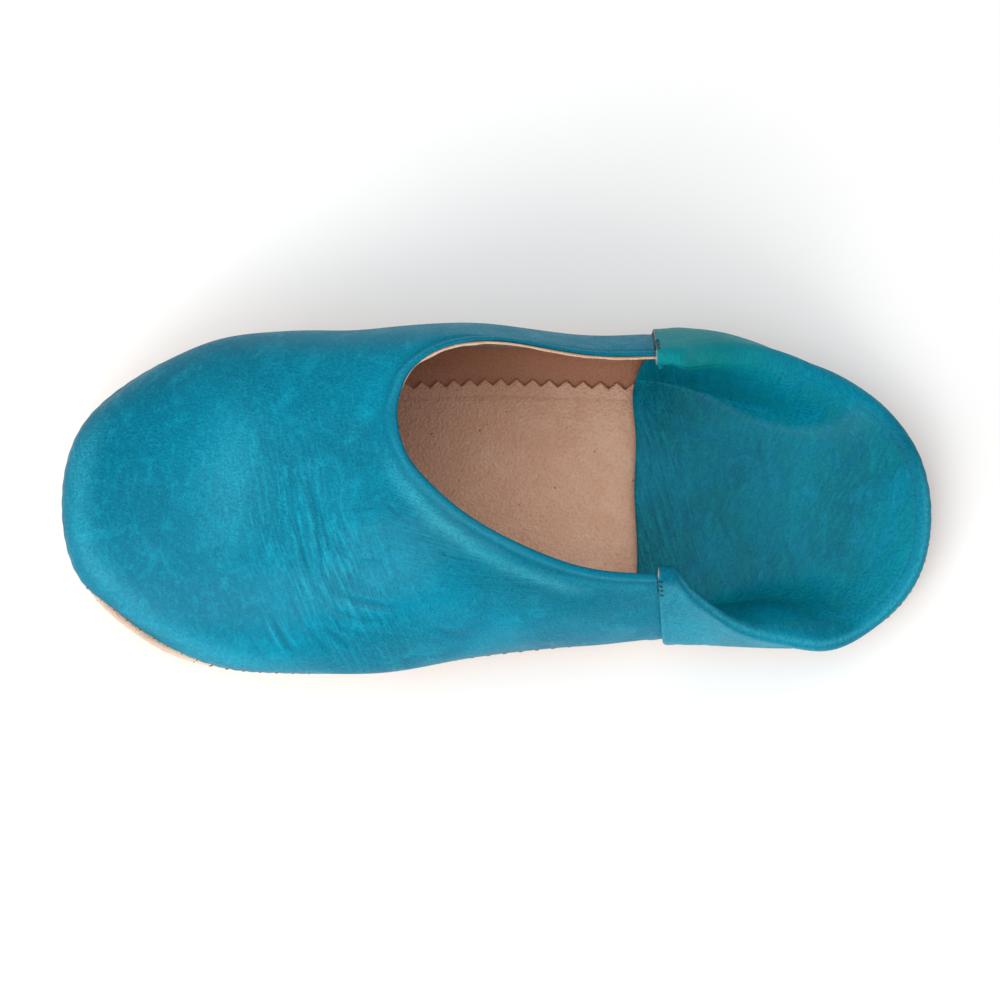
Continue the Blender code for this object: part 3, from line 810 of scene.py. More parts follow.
def border(rows, columns, closed):
    """Flat indices once round a grid's border, and of the points one step inside it."""
    ring = [(i, 0) for i in range(rows)]
    if not closed:
        ring += [(rows - 1, j) for j in range(1, columns)]
        ring += [(i, columns - 1) for i in range(rows - 2, -1, -1)]
        ring += [(0, j) for j in range(columns - 2, 0, -1)]
    margin = 0 if closed else 1
    inside = np.clip(ring, (margin, 1), (rows - 1 - margin, columns - 2))
    return np.array(ring) @ (columns, 1), inside @ (columns, 1)


def grid_faces(rows, columns, closed=False):
    i = np.arange(rows if closed else rows - 1)[:, None]
    j = np.arange(columns - 1)[None, :]
    here = i * columns + j
    there = (i + 1) % rows * columns + j
    return np.stack((here, there, there + 1, here + 1), axis=-1).reshape(-1, 4)


def strip_faces(first, second):
    """Faces between two closed loops of indices."""
    return np.stack((np.roll(first, -1), first, second, np.roll(second, -1)), axis=1)


def closed_normals(points):
    """Unit normals of a grid whose last row meets its first."""
    wrapped = np.concatenate((points[-1:], points, points[:1]))
    return grid_normals(wrapped)[1:-1]


def shown(name, vertices, faces, looks, material):
    """A smooth object that rides on the shoe, with a value of each look at every vertex."""
    mesh = bpy.data.meshes.new(name)
    mesh.from_pydata(world(vertices).tolist(), [], np.asarray(faces).tolist())
    for look, values in looks.items():
        vector = values.ndim == 2
        layer = mesh.attributes.new(look, "FLOAT_VECTOR" if vector else "FLOAT", "POINT")
        layer.data.foreach_set("vector" if vector else "value", values.astype(np.float32).ravel())
    mesh.validate()
    mesh.shade_smooth()
    mesh.materials.append(material)
    piece = bpy.data.objects.new(name, mesh)
    bpy.context.scene.collection.objects.link(piece)
    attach(piece, "root")
    return piece


def coarse_places(count):
    """Every few places along a line, and its last."""
    return np.append(np.arange(0, count - 1, BACK_STRIDE), count - 1)


def skin(name, points, thickness, looks, material, bare=1.0, closed=False):
    """A sheet of leather: its face, its edge rounded over to the back, and its back.

    Looks are grids of values like the points. Bare says how far the edge shows undyed leather.
    """
    rows, columns = points.shape[:2]
    thickness = np.broadcast_to(thickness, (rows, columns))
    normals = closed_normals(points) if closed else grid_normals(points)
    ring, inside = border(rows, columns, closed)
    flat_points = points.reshape(-1, 3)
    flat_normals = normals.reshape(-1, 3)
    edge, normal = flat_points[ring], flat_normals[ring]
    out = edge - flat_points[inside]
    out = unit(out - normal * np.sum(out * normal, axis=1, keepdims=True))
    half = thickness.ravel()[ring][:, None] / 2

    loops = []
    for angle in np.linspace(0.0, math.pi, EDGE_ROUND + 1)[1:]:
        loops.append(edge - normal * half * (1 - math.cos(angle)) + out * half * math.sin(angle))
    loops.append(loops[-1] - out * TUCK)
    coarse_rows = np.arange(0, rows, BACK_STRIDE) if closed else coarse_places(rows)
    coarse = np.ix_(coarse_rows, coarse_places(columns))
    back = (points - normals * thickness[..., None])[coarse]

    vertices = np.concatenate((flat_points, *loops, back.reshape(-1, 3)))
    faces = [grid_faces(rows, columns, closed)]
    before = ring
    for number in range(len(loops)):
        after = rows * columns + number * len(ring) + np.arange(len(ring))
        faces.append(strip_faces(before, after))
        before = after
    first_back = rows * columns + len(loops) * len(ring)
    faces.append(grid_faces(*back.shape[:2], closed)[:, ::-1] + first_back)

    bare_ring = np.broadcast_to(bare, (rows, columns)).ravel()[ring]
    values = {"bare": [np.zeros(rows * columns)]}
    for number in range(len(loops)):
        values["bare"].append(bare_ring * min(1.0, (number + 0.5) / BARE_LOOPS))
    values["bare"].append(np.ones(back.shape[0] * back.shape[1]))
    for look, grid in looks.items():
        flat = grid.reshape(rows * columns, *grid.shape[2:])
        values[look] = [flat] + [flat[ring]] * len(loops)
        values[look].append(grid[coarse].reshape(-1, *grid.shape[2:]))
    gathered = {look: np.concatenate(parts) for look, parts in values.items()}
    return shown(name, vertices, np.concatenate(faces), gathered, material)


def colour(red, green, blue):
    """Linear colour of screen values from 0 to 255."""
    shares = np.array((red, green, blue)) / 255
    linear = np.where(shares <= 0.04045, shares / 12.92, ((shares + 0.055) / 1.055) ** 2.4)
    return (*linear.tolist(), 1.0)


class Finish:
    """A material whose nodes are added one after another."""

    def __init__(self, name):
        self.material = bpy.data.materials.new(name)
        self.material.use_nodes = True
        self.tree = self.material.node_tree
        self.surface = self.tree.nodes["Principled BSDF"]

    def put(self, socket, value):
        if isinstance(value, bpy.types.NodeSocket):
            self.tree.links.new(value, socket)
        else:
            socket.default_value = value

    def node(self, kind, inputs, **settings):
        node = self.tree.nodes.new(kind)
        for setting, value in settings.items():
            setattr(node, setting, value)
        for key, value in inputs.items():
            self.put(node.inputs[key], value)
        return node

    def place(self):
        return self.node("ShaderNodeTexCoord", {}).outputs["Object"]

    def look(self, name, output="Fac"):
        return self.node("ShaderNodeAttribute", {}, attribute_name=name).outputs[output]

    def parts(self, name):
        """The three values of a look that is a vector, by the names X, Y and Z."""
        return self.node("ShaderNodeSeparateXYZ", {"Vector": self.look(name, "Vector")}).outputs

    def math(self, operation, first, second, clamp=False):
        inputs = {0: first, 1: second}
        return self.node("ShaderNodeMath", inputs, operation=operation, use_clamp=clamp).outputs[0]

    def times(self, first, second):
        return self.math("MULTIPLY", first, second)

    def span(self, value, low, high, first=0.0, last=1.0):
        """The value's way from low to high, as a number from first to last."""
        inputs = {"Value": value, "From Min": low, "From Max": high, "To Min": first, "To Max": last}
        return self.node("ShaderNodeMapRange", inputs, interpolation_type="SMOOTHSTEP").outputs[0]

    def noise(self, place, scale, detail=3.0, roughness=0.5, distortion=0.0):
        inputs = {"Vector": place, "Scale": scale, "Detail": detail, "Roughness": roughness,
                  "Distortion": distortion}
        return self.node("ShaderNodeTexNoise", inputs).outputs["Fac"]

    def cells(self, place, scale):
        inputs = {"Vector": place, "Scale": scale}
        return self.node("ShaderNodeTexVoronoi", inputs, feature="F1").outputs["Distance"]

    def strokes(self, place, angle, scale, stretch):
        """Short hair-like strokes of the grain, all about one way."""
        inputs = {"Vector": place, "Rotation": (0.0, 0.0, math.radians(angle)),
                  "Scale": (scale, scale / stretch, scale)}
        turned = self.node("ShaderNodeMapping", inputs).outputs[0]
        return self.noise(turned, 1.0, 2.0, 0.55, 0.9)

    def mix(self, share, first, second):
        inputs = {0: share, 6: first, 7: second}
        return self.node("ShaderNodeMix", inputs, data_type="RGBA").outputs[2]

    def tinted(self, base, tint, value, low, high, first=0.0, last=1.0):
        """The base with a tint over it, as strong as the value's way from low to high."""
        return self.mix(self.span(value, low, high, first, last), base, tint)

    def wrinkles(self, name, pitch, length):
        """Fine wrinkles along a piece's own lines: the look holds across, along and strength in mm."""
        parts = self.parts(name)
        across = self.math("DIVIDE", parts["X"], pitch)
        along = self.math("DIVIDE", parts["Y"], length)
        lined_up = self.node("ShaderNodeCombineXYZ", {"X": across, "Y": along}).outputs[0]
        return self.noise(lined_up, 1.0, 3.0, 0.6, 0.5), parts["Z"]

    def relief(self, *layers):
        """Bumps laid one over another, each as its height, how far that stands out and its strength."""
        normal = None
        for height, distance, strength in layers:
            inputs = {"Height": height, "Distance": distance, "Strength": strength}
            if normal is not None:
                inputs["Normal"] = normal
            normal = self.node("ShaderNodeBump", inputs).outputs["Normal"]
        return normal

    def shade(self, **inputs):
        for key, value in inputs.items():
            self.put(self.surface.inputs[key.replace("_", " ")], value)
        return self.material


# A pale blue painted on as highlight where the leather would catch the light
HIGHLIGHT_BLUE = colour(70, 188, 212)
HIDE_BROWN = colour(132, 88, 62)
SPECK_BROWN = colour(84, 52, 38)
SEAM_BROWN = colour(62, 44, 36)

# Fine wrinkles of the dyed leathers: pitch and length in mm
FLEX_WRINKLES = (1.15, 9.0)
PULL_WRINKLES = (1.05, 6.0)


def dyed_leather(name, deep, middle, pale, green, bare, gloss, brushed):
    """Hand-dyed goatskin: soft clouds of colour, pores, fine wrinkles, bare cut edges, painted shade in
    creases and along the rim, painted highlights on ridges and rolls.
    """
    f = Finish(name)
    place = f.place()
    clouds = f.noise(place, 20.0, 2.0, 0.5, 0.6)
    patches = f.noise(place, 110.0, 3.0, 0.6, 0.8)
    mottle = f.noise(place, 1150.0, 2.0, 0.65, 0.6)
    pores = f.cells(place, 1150.0)
    strokes = f.strokes(place, *brushed)
    crease = f.look("crease")
    edge = f.look("bare")
    flex, flex_strength = f.wrinkles("flex", *FLEX_WRINKLES)
    pull, pull_strength = f.wrinkles("pull", *PULL_WRINKLES)

    dye_and_painted_light = f.tinted(deep, middle, clouds, 0.30, 0.66)
    # The darker toe and the painted shade on the vamp's far side
    dye_and_painted_light = f.mix(f.look("tone_and_shade"), dye_and_painted_light, deep)
    dye_and_painted_light = f.tinted(dye_and_painted_light, pale, patches, 0.48, 0.80, 0.0, 0.40)
    dye_and_painted_light = f.mix(f.times(f.look("moss"), f.span(patches, 0.62, 0.38)), dye_and_painted_light, green)
    dye_and_painted_light = f.tinted(dye_and_painted_light, pale, strokes, 0.46, 0.76, 0.0, 0.30)
    dye_and_painted_light = f.tinted(dye_and_painted_light, deep, mottle, 0.30, 0.52, 0.36, 0.0)
    dye_and_painted_light = f.tinted(dye_and_painted_light, pale, mottle, 0.52, 0.74, 0.0, 0.30)
    dye_and_painted_light = f.tinted(dye_and_painted_light, deep, pores, 0.0, 0.28, 0.22, 0.0)
    # Painted shade in the troughs of the fine wrinkles and a painted highlight on their raised parts
    lines = f.times(f.span(flex, 0.36, 0.48, 1.0, 0.0), flex_strength)
    pulls = f.times(f.span(pull, 0.36, 0.48, 1.0, 0.0), pull_strength)
    dye_and_painted_light = f.mix(f.times(f.math("MAXIMUM", lines, pulls), 0.50), dye_and_painted_light, deep)
    lifts = f.times(f.span(flex, 0.52, 0.62), flex_strength)
    raised = f.times(f.span(pull, 0.50, 0.62), pull_strength)
    dye_and_painted_light = f.mix(f.times(f.math("MAXIMUM", lifts, raised), 0.50), dye_and_painted_light, pale)
    # Painted shade in the creases' troughs and a painted highlight on their low ridges
    dye_and_painted_light = f.tinted(dye_and_painted_light, deep, crease, -0.03, -0.30, 0.0, 0.85)
    dye_and_painted_light = f.tinted(dye_and_painted_light, pale, crease, 0.01, 0.08, 0.0, 0.70)
    dye_and_painted_light = f.mix(f.times(f.look("green"), f.span(patches, 0.25, 0.70, 0.55, 1.0)), dye_and_painted_light, green)
    dye_and_painted_light = f.tinted(dye_and_painted_light, deep, f.look("seam"), 0.0, 1.1, 0.75, 0.0)
    # Painted shade in a band along the rolled throat rim
    dye_and_painted_light = f.tinted(dye_and_painted_light, deep, f.look("rim"), 5.5, 2.5, 0.0, 0.85)
    # Painted highlights in pale blue: beside the throat, on the bead, on the vamp's top, on the toe, and on
    # the counter's near fold and near wall
    dye_and_painted_light = f.mix(f.times(f.look("painted_highlight"), f.span(mottle, 0.35, 0.58, 0.55, 1.0)), dye_and_painted_light, HIGHLIGHT_BLUE)
    hide = f.tinted(bare, HIDE_BROWN, mottle, 0.3, 0.7)
    tint = f.tinted(dye_and_painted_light, hide, edge, 0.25, 0.8)

    flexed = f.times(flex, flex_strength)
    pulled = f.times(pull, pull_strength)
    relief = f.relief((flexed, 0.0010, 1.0), (pulled, 0.0009, 1.0), (patches, 0.0006, 0.6),
                      (strokes, 0.00030, 0.8), (pores, 0.00030, 0.9), (mottle, 0.00036, 0.9))
    rough = f.span(patches, 0.3, 0.7, gloss + 0.07, gloss - 0.05)
    rough = f.math("ADD", rough, f.times(edge, 0.25), clamp=True)
    return f.shade(Base_Color=tint, Roughness=rough, Normal=relief, Coat_Weight=0.12,
                   Coat_Roughness=f.times(rough, 0.7), Specular_IOR_Level=0.015)


def natural_leather(name, tints, bare, grain_depth, gloss, dirt_and_shade):
    """Undyed leather: three tints in clouds, pores, specks, and a darker tint where the look says so: dirt
    on the sole, painted shade at the insole's toe.
    """
    f = Finish(name)
    place = f.place()
    clouds = f.noise(place, 18.0, 3.0, 0.6, 0.7)
    patches = f.noise(place, 85.0, 4.0, 0.65, 0.6)
    mottle = f.noise(place, 1100.0, 2.0, 0.6)
    pores = f.cells(place, 1050.0)
    specks = f.noise(place, 330.0, 2.0, 0.5)
    # Stains and dirt, and on the insole the painted shade under the vamp at the toe
    stain_and_shade = f.parts("stain_and_shade")
    low, middle, high = tints
    tint = f.tinted(low, middle, f.math("ADD", clouds, stain_and_shade["X"]), 0.25, 0.60)
    tint = f.tinted(tint, high, f.math("ADD", patches, stain_and_shade["Y"]), 0.42, 0.85, 0.0, 0.9)
    tint = f.tinted(tint, low, mottle, 0.35, 0.60, 0.26, 0.0)
    tint = f.tinted(tint, high, pores, 0.10, 0.45, 0.0, 0.26)
    tint = f.tinted(tint, SPECK_BROWN, specks, 0.735, 0.765, 0.0, 0.6)
    tint = f.mix(f.times(stain_and_shade["Z"], f.span(patches, 0.35, 0.65, 0.25, 1.0)), tint, dirt_and_shade)
    # Painted shade in creases, stitch pinches and the pressed line
    tint = f.tinted(tint, low, f.look("crease"), -0.03, -0.40, 0.0, 0.55)
    tint = f.tinted(tint, SEAM_BROWN, f.look("seam"), 0.0, 0.9, 0.75, 0.0)
    tint = f.tinted(tint, bare, f.look("bare"), 0.25, 0.8)

    relief = f.relief((patches, 0.0005, 0.4), (pores, grain_depth * 2.0, 0.9),
                      (mottle, grain_depth * 1.5, 0.8))
    rough = f.span(patches, 0.3, 0.7, gloss + 0.08, gloss - 0.06)
    return f.shade(Base_Color=tint, Roughness=rough, Normal=relief, Specular_IOR_Level=0.25,
                   Coat_Weight=0.03, Coat_Roughness=0.5)


def waxed_thread(name, pale, deep):
    """Twisted thread: painted shade in the grooves between its plies, and wax."""
    f = Finish(name)
    place = f.place()
    inputs = {"Vector": place, "Scale": 620.0, "Distortion": 3.0, "Detail": 2.0, "Detail Scale": 2.0}
    plies = f.node("ShaderNodeTexWave", inputs, wave_type="BANDS", bands_direction="DIAGONAL").outputs["Fac"]
    wear = f.noise(place, 700.0, 3.0)
    # Painted shade in the grooves between the plies
    tint = f.tinted(deep, pale, plies, 0.1, 0.8)
    tint = f.tinted(tint, deep, wear, 0.40, 0.70, 0.0, 0.6)
    rough = f.span(wear, 0.3, 0.7, 0.45, 0.62)
    return f.shade(Base_Color=tint, Roughness=rough, Normal=f.relief((plies, 0.00018, 0.8)),
                   Specular_IOR_Level=0.4)


TURQUOISE = dyed_leather("turquoise_vamp_leather", colour(0, 108, 134), colour(0, 127, 155),
                         colour(18, 160, 188), colour(6, 136, 138), colour(188, 146, 118), 0.40,
                         (38.0, 640.0, 2.4))
TEAL = dyed_leather("turquoise_counter_leather", colour(0, 100, 124), colour(0, 128, 156),
                    colour(16, 150, 176), colour(14, 140, 132), colour(214, 184, 156), 0.42,
                    (-32.0, 420.0, 3.0))
SOCK = natural_leather("natural_sock_leather", (colour(188, 136, 110), colour(233, 180, 150),
                       colour(246, 204, 176)), colour(190, 142, 114), 0.00018, 0.62, colour(140, 98, 76))
LINING = natural_leather("natural_lining_leather", (colour(84, 46, 30), colour(130, 74, 48),
                         colour(164, 110, 82)), colour(206, 172, 146), 0.00014, 0.62, colour(104, 70, 54))
SOLE = natural_leather("natural_sole_leather", (colour(176, 138, 112), colour(212, 182, 156),
                       colour(230, 212, 192)), colour(188, 132, 104), 0.00014, 0.55, colour(120, 96, 82))
SOLE_THREAD = waxed_thread("waxed_sole_thread", colour(176, 116, 52), colour(74, 42, 22))
SEAM_THREAD = waxed_thread("waxed_seam_thread", colour(52, 46, 48), colour(14, 20, 26))

# The distance in mm beyond which a seam's darkening or the rim's painted shade no longer shows on the
# leather
FAR_AWAY = 20.0


def zeros(points):
    return np.zeros(points.shape[:2])


def lined(across, along, strength):
    """A look of fine wrinkles: distances across and along them in mm, and their strength."""
    return np.stack((across / MM, along / MM, strength), axis=-1)


def mark(distance):
    """A look that is the distance in mm from a seam or a rim."""
    return np.minimum(distance / MM, FAR_AWAY)


def spot(along, across, middle_along, reach_along, middle_across, reach_across):
    """1 in the middle of a soft spot and 0 well outside it."""
    return bell(along - middle_along, reach_along) * bell(across - middle_across, reach_across)


def grid_runs(points):
    """At each point of a grid: way from the foot, way to the rim, way round, way to the nearer end."""
    runs = column_runs(points)
    around = row_runs(points)
    return runs, runs[:, -1:] - runs, around, np.minimum(around, around[-1:] - around)


# How far from the vamp's hem, rim and ends its unevenness has its full height
CALM_HEM = 0.008
CALM_RIM = 0.006
CALM_END = 0.012


def vamp_unevenness(points):
    runs, to_rim, _, to_end = grid_runs(points)
    calm = ramp(runs, 0.0, CALM_HEM) * ramp(to_rim, 0.0, CALM_RIM) * ramp(to_end, 0.0, CALM_END)
    return undulation(points) * calm


# Over what distance from the rim the vamp's creases grow to their full depth
CREASE_CALM = 0.003

# Fine wrinkles over the ball run in bows: how they lean and how they bend
BOW_LEAN = 0.20
BOW_BEND = 4.0

# Soft spots, each as its middle and reach one way, then its middle and reach the other way: wrinkles over
# the ball (along, across), wrinkles beside the throat (from the rim, along) and the painted highlight patch
# before the creases (along, across), which leans
BALL_WRINKLES = (0.075, 0.020, -0.018, 0.034)
THROAT_WRINKLES = (0.012, 0.013, 0.125, 0.045)
WRINKLE_STRENGTH = 1.1
HIGHLIGHT_SPOT = (0.053, 0.009, 0.002, 0.020)
HIGHLIGHT_LEAN = 0.1

# Where each of these begins and where it is full: the throat's near side, the far rim with its raw edge,
# the painted toe highlight, the darker toe and the painted shade on the far side, and the painted highlight
# band beside the throat, whose last pair is in stations
NEAR_THROAT = (0.010, -0.010)
FAR_RIM_ACROSS = (0.010, 0.030)
FAR_RIM_ALONG = (0.105, 0.115)
TOE_LIGHT_ALONG = (0.085, 0.050)
TOE_LIGHT_ACROSS = (0.032, 0.012)
DARK_TOE = (0.075, 0.015)
SHADED_FAR_SIDE = (0.020, 0.050)
SHEEN_ACROSS = (0.016, -0.004)
SHEEN_ALONG = (0.62, 0.57)

# The painted toe highlight's middle and reach up the wall, the reach of the painted highlight on the bead,
# and of the green at the vamp's ends
TOE_LIGHT_UP = (0.012, 0.005)
BEAD_SHINE_WIDTH = 0.0007
GREEN_END = 0.005

# Strengths of the painted highlights, of the darker toe and the painted shade on the far side,
# and of the green at the vamp's ends
SHEEN_SHARE, BEAD_SHARE, HIGHLIGHT_SPOT_SHARE, TOE_LIGHT_SHARE = 0.47, 0.20, 0.22, 0.27
DARK_TOE_SHARE, SHADED_FAR_SHARE, GREEN_SHARE = 0.95, 0.45, 0.12


def build_vamp():
    ways, points, _ = upper_points(VAMP_STEPS)
    runs, to_rim, around, to_end = grid_runs(points)
    creases = crease_heights(points, VAMP_CREASES) * ramp(to_rim, 0.0, CREASE_CALM)
    out, down = hem_moves(ways, runs)
    height = vamp_unevenness(points) + creases + out
    for distance, width, size in (BEAD, GROOVE):
        height += size * bell(to_rim - distance, width)
    moved = points + grid_normals(points) * height[..., None] - UP * down[..., None]

    along, across = points[..., 0], points[..., 1]
    rim_along, rim_across = points[:, -1:, 0], points[:, -1:, 1]
    rim_station = rim_along / LENGTH
    bent = along + BOW_LEAN * across - BOW_BEND * np.minimum(across, 0.0) ** 2
    ball = spot(bent, across, *BALL_WRINKLES)
    throat = spot(to_rim, along, *THROAT_WRINKLES) * ramp(across, *NEAR_THROAT)
    # A painted highlight patch on the top of the vamp
    wear_and_highlight = spot(along - HIGHLIGHT_LEAN * across, across, *HIGHLIGHT_SPOT)
    # A painted highlight along the near side of the toe
    toe_light = bell(runs - TOE_LIGHT_UP[0], TOE_LIGHT_UP[1])
    toe_light = toe_light * ramp(along, *TOE_LIGHT_ALONG) * ramp(across, *TOE_LIGHT_ACROSS)
    # A painted highlight band beside the throat on the near side
    band = np.interp(rim_station, SHEEN_STATIONS, SHEEN_PLACES)
    on_near = ramp(rim_across, *SHEEN_ACROSS) * ramp(rim_station, *SHEEN_ALONG)
    sheen = bell(to_rim - band, SHEEN_WIDTH) * on_near
    # A painted highlight along the bead of the throat
    bead = bell(to_rim - BEAD[0], BEAD_SHINE_WIDTH)
    # A darker toe, and painted shade on the far side
    tone_and_shade = DARK_TOE_SHARE * ramp(along, *DARK_TOE) + SHADED_FAR_SHARE * ramp(across, *SHADED_FAR_SIDE)
    looks = {
        "crease": creases / MM,
        "rim": mark(to_rim),
        "painted_highlight": SHEEN_SHARE * sheen + BEAD_SHARE * bead + HIGHLIGHT_SPOT_SHARE * wear_and_highlight + TOE_LIGHT_SHARE * toe_light,
        "seam": mark(runs),
        "green": bell(to_end, GREEN_END) * GREEN_SHARE,
        "moss": zeros(points),
        "tone_and_shade": np.clip(tone_and_shade, 0.0, 1.0),
        "flex": lined(bent, across, np.clip(WRINKLE_STRENGTH * ball, 0.0, 1.0)),
        "pull": lined(around, to_rim, np.clip(WRINKLE_STRENGTH * throat, 0.0, 1.0)),
    }

    far_rim = ramp(rim_across, *FAR_RIM_ACROSS) * ramp(rim_along, *FAR_RIM_ALONG)
    folded = (1 - far_rim) * ramp(to_rim, FOLD_REACH, 0.0)
    thickness = VAMP_LEATHER + (UPPER_WALL - VAMP_LEATHER) * folded
    bare = zeros(points) + 1.0
    bare[:, -1] = 0.0
    piece = skin("vamp", moved, thickness, looks, TURQUOISE, bare)
    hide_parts("upper")


# The lining: where its far side begins across the shoe, how late up the wall it leaves the vamp's shape,
# how pale it is, and how much paler at its edge, with the reach of that
LINING_FAR_SIDE = 0.010
STAND_POWER = 8
LINING_TINT = 0.05
LINING_EDGE_TINT = 0.3
LINING_EDGE_REACH = 0.004


def build_lining():
    ways, points, end = upper_points(LINING_STEPS)
    normals = grid_normals(points)
    runs, to_rim, _, _ = grid_runs(points)
    stations, near_stands, far_stands = np.array(LINING_STAND).T
    rim_along = points[:, -1, 0]
    stand = np.interp(rim_along / LENGTH, stations, near_stands)
    far_stand = np.interp(rim_along / LENGTH, stations, far_stands)
    for wave, start, height in TORN_EDGE:
        far_stand += height * np.sin(2 * math.pi * rim_along / wave + start)
    stand = np.where(points[:, -1, 1] > LINING_FAR_SIDE, far_stand, stand) * MM
    rise = stand[:, None] * (runs / runs[:, -1:]) ** STAND_POWER
    inwards = VAMP_LEATHER + LINING_LEATHER - vamp_unevenness(points)
    inwards += ledge(ways)[:, None] * ledge_fade(runs)
    moved = points - normals * inwards[..., None] + end[:, None, :] * rise[..., None]
    face = moved[::-1]
    paler = LINING_EDGE_TINT * bell(to_rim[::-1], LINING_EDGE_REACH)
    stain_and_shade = np.stack((zeros(face) + LINING_TINT, paler, zeros(face)), axis=-1)
    looks = {"crease": zeros(face), "seam": zeros(face) + FAR_AWAY, "stain_and_shade": stain_and_shade}
    skin("vamp_lining", face, LINING_LEATHER, looks, LINING)


# The counter's unevenness: how far from its hem and ends it is full, its share all over and how much more
# on the wall. The wall's share begins to go so many steps below the roll, and is gone over a short way.
COUNTER_CALM_HEM = 0.006
COUNTER_CALM_END = 0.008
SHEET_UNEVEN, WALL_UNEVEN = 0.25, 0.60
WALL_MARGIN = 4
WALL_END = 0.004

# Over what way past the roll the sheet's creases grow to their full depth
SHEET_CALM = 0.006

# Fine wrinkles at the sheet's front edge (place and reach), their lean and the most that they show, then
# the lean and the strength of the fainter ones all over the sheet
FRONT_WRINKLES = (0.004, 0.016)
FRONT_LEAN = 0.30
FRONT_LIMIT = 0.9
SHEET_LEAN = -0.5
SHEET_WRINKLES = 0.28

# The green far side: how far across it is full, its middle and reach past the wall, how far from the ends
# it begins and is full, and its strength. Then the strength of the green patches on the sheet.
FAR_SIDE_REACH = 0.02
GREEN_ROLL = (0.004, 0.010)
GREEN_ENDS = (0.065, 0.020)
GREEN_STRENGTH = 0.66
MOSS_STRENGTH = 0.26

# The painted highlight on the ridge of the near fold: its width, how far from the ends it begins and is
# full, and its strength, then that of the painted highlight on the near wall
RIDGE_WIDTH = 0.0010
RIDGE_ENDS = (0.004, 0.010)
RIDGE_SHARE, WALL_SHARE = 0.38, 0.24

# How bare the cut edge is: the least, how much more on the far side and at the fold, the reach of the
# fold's part, and how much of all that the sheet lacks
BARE_LEAST, BARE_MORE = 0.15, 0.55
BARE_CREST = 0.003
BARE_LESS_ON_SHEET = 0.8


def build_counter():
    ways, points = counter_points()
    runs, to_flap, _, to_end = grid_runs(points)
    wall = WALL_STEPS + 1
    rolled = wall + ROLL_STEPS
    crest = wall + ROLL_STEPS // 2

    def past(line):
        return runs - runs[:, line:line + 1]

    on_sheet = (np.arange(points.shape[1]) >= rolled)[None, :]
    on_wall = ramp(past(wall - WALL_MARGIN), WALL_END, 0.0)
    creases = crease_heights(points, FLAP_CREASES) * on_sheet * ramp(past(rolled), 0.0, SHEET_CALM)
    calm = ramp(runs, 0.0, COUNTER_CALM_HEM) * ramp(to_end, 0.0, COUNTER_CALM_END)
    calm = calm * (WALL_UNEVEN * on_wall + SHEET_UNEVEN)
    out, down = hem_moves(ways, runs)
    height = np.abs(undulation(points)) * calm + creases + out
    moved = points + grid_normals(points) * height[..., None] - UP * down[..., None]

    along, across = points[..., 0], points[..., 1]
    front = bell(to_flap - FRONT_WRINKLES[0], FRONT_WRINKLES[1]) * on_sheet
    far = ramp(across, 0.0, FAR_SIDE_REACH)
    from_sheet = 1 - on_sheet * (1 - bell(past(wall) - GREEN_ROLL[0], GREEN_ROLL[1]))
    green = GREEN_STRENGTH * far * from_sheet * ramp(to_end, *GREEN_ENDS)
    # A painted highlight along the crest of the near fold
    ridge = bell(past(crest), RIDGE_WIDTH) * (1 - far) * ramp(to_end, *RIDGE_ENDS)
    looks = {
        "crease": creases / MM,
        "rim": zeros(points) + FAR_AWAY,
        # Painted highlights on the near fold's ridge and on the near wall
        "painted_highlight": RIDGE_SHARE * ridge + WALL_SHARE * on_wall * (1 - far),
        "seam": mark(runs),
        "green": np.clip(green, 0.0, 1.0),
        "moss": MOSS_STRENGTH * on_sheet + zeros(points),
        "tone_and_shade": zeros(points),
        "flex": lined(along + FRONT_LEAN * across, across, np.clip(front, 0.0, FRONT_LIMIT)),
        "pull": lined(along + SHEET_LEAN * across, across, SHEET_WRINKLES * on_sheet + zeros(points)),
    }
    widest = np.maximum(far, bell(past(crest), BARE_CREST))
    bare = BARE_LEAST + BARE_MORE * widest * (1 - BARE_LESS_ON_SHEET * on_sheet)
    piece = skin("heel_counter_leather", moved, COUNTER_WALL, looks, TEAL, bare)
    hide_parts("heel_counter")


def spine(ways):
    """Where the sole's rings close: a short line along its middle."""
    plan = stitch_plan(ways)
    mirrored = stitch_plan(-ways)
    along = LENGTH * (0.17 + 0.68 * (plan[:, 0] + mirrored[:, 0]) / (2 * LENGTH))
    middle = spline([0.0, 0.3, 0.6, 1.0], [(TOE_ACROSS,), (0.0,), (0.09,), (HEEL_ACROSS,)])
    return np.column_stack((along, middle(along / LENGTH)[:, 0] * HALF_BALL))


def ring_ways(count):
    return np.arange(2 * count) / count - 1.0


# The sole's side: how deep each stitch pulls it in and how far round that reaches, then how high it
# puckers between two stitches, how far below the edge and over what width
PINCH_DEPTH = 0.00030
PINCH_REACH = 0.0011
PUCKER_HEIGHT = 0.00014
PUCKER_PLACE = 0.004
PUCKER_REACH = 0.003

# The sole's unevenness: its waves are shorter than the upper's and a little higher, how far below the
# edge it is full, and between what heights over the floor it grows
SOLE_WAVE_SCALES = (1.3, 1.3, 1.0)
SOLE_UNEVEN = 1.1
SOLE_CALM = 0.006
OFF_FLOOR = (0.0008, 0.0048)

# Dirt low on the sole, by height, at the worn stations and in the spot under the arch (station, across).
# Then the paler fore part (middle, reach) and the darker heel (begins, is full), as stations.
NEAR_FLOOR = (0.007, 0.001)
WORN_STATIONS = (0.36, 0.80)
WORN_REACH = 0.09
ARCH_SPOT = (0.58, 0.13, 0.0, 0.06)
PALE_FORE = (0.22, 0.13)
DARK_HEEL = (0.55, 0.80)

# The strip of the sole that shows beyond the vamp at the toe: how far down it is soiled and how much
STRIP_REACH = 0.003
STRIP_DIRT = 0.40


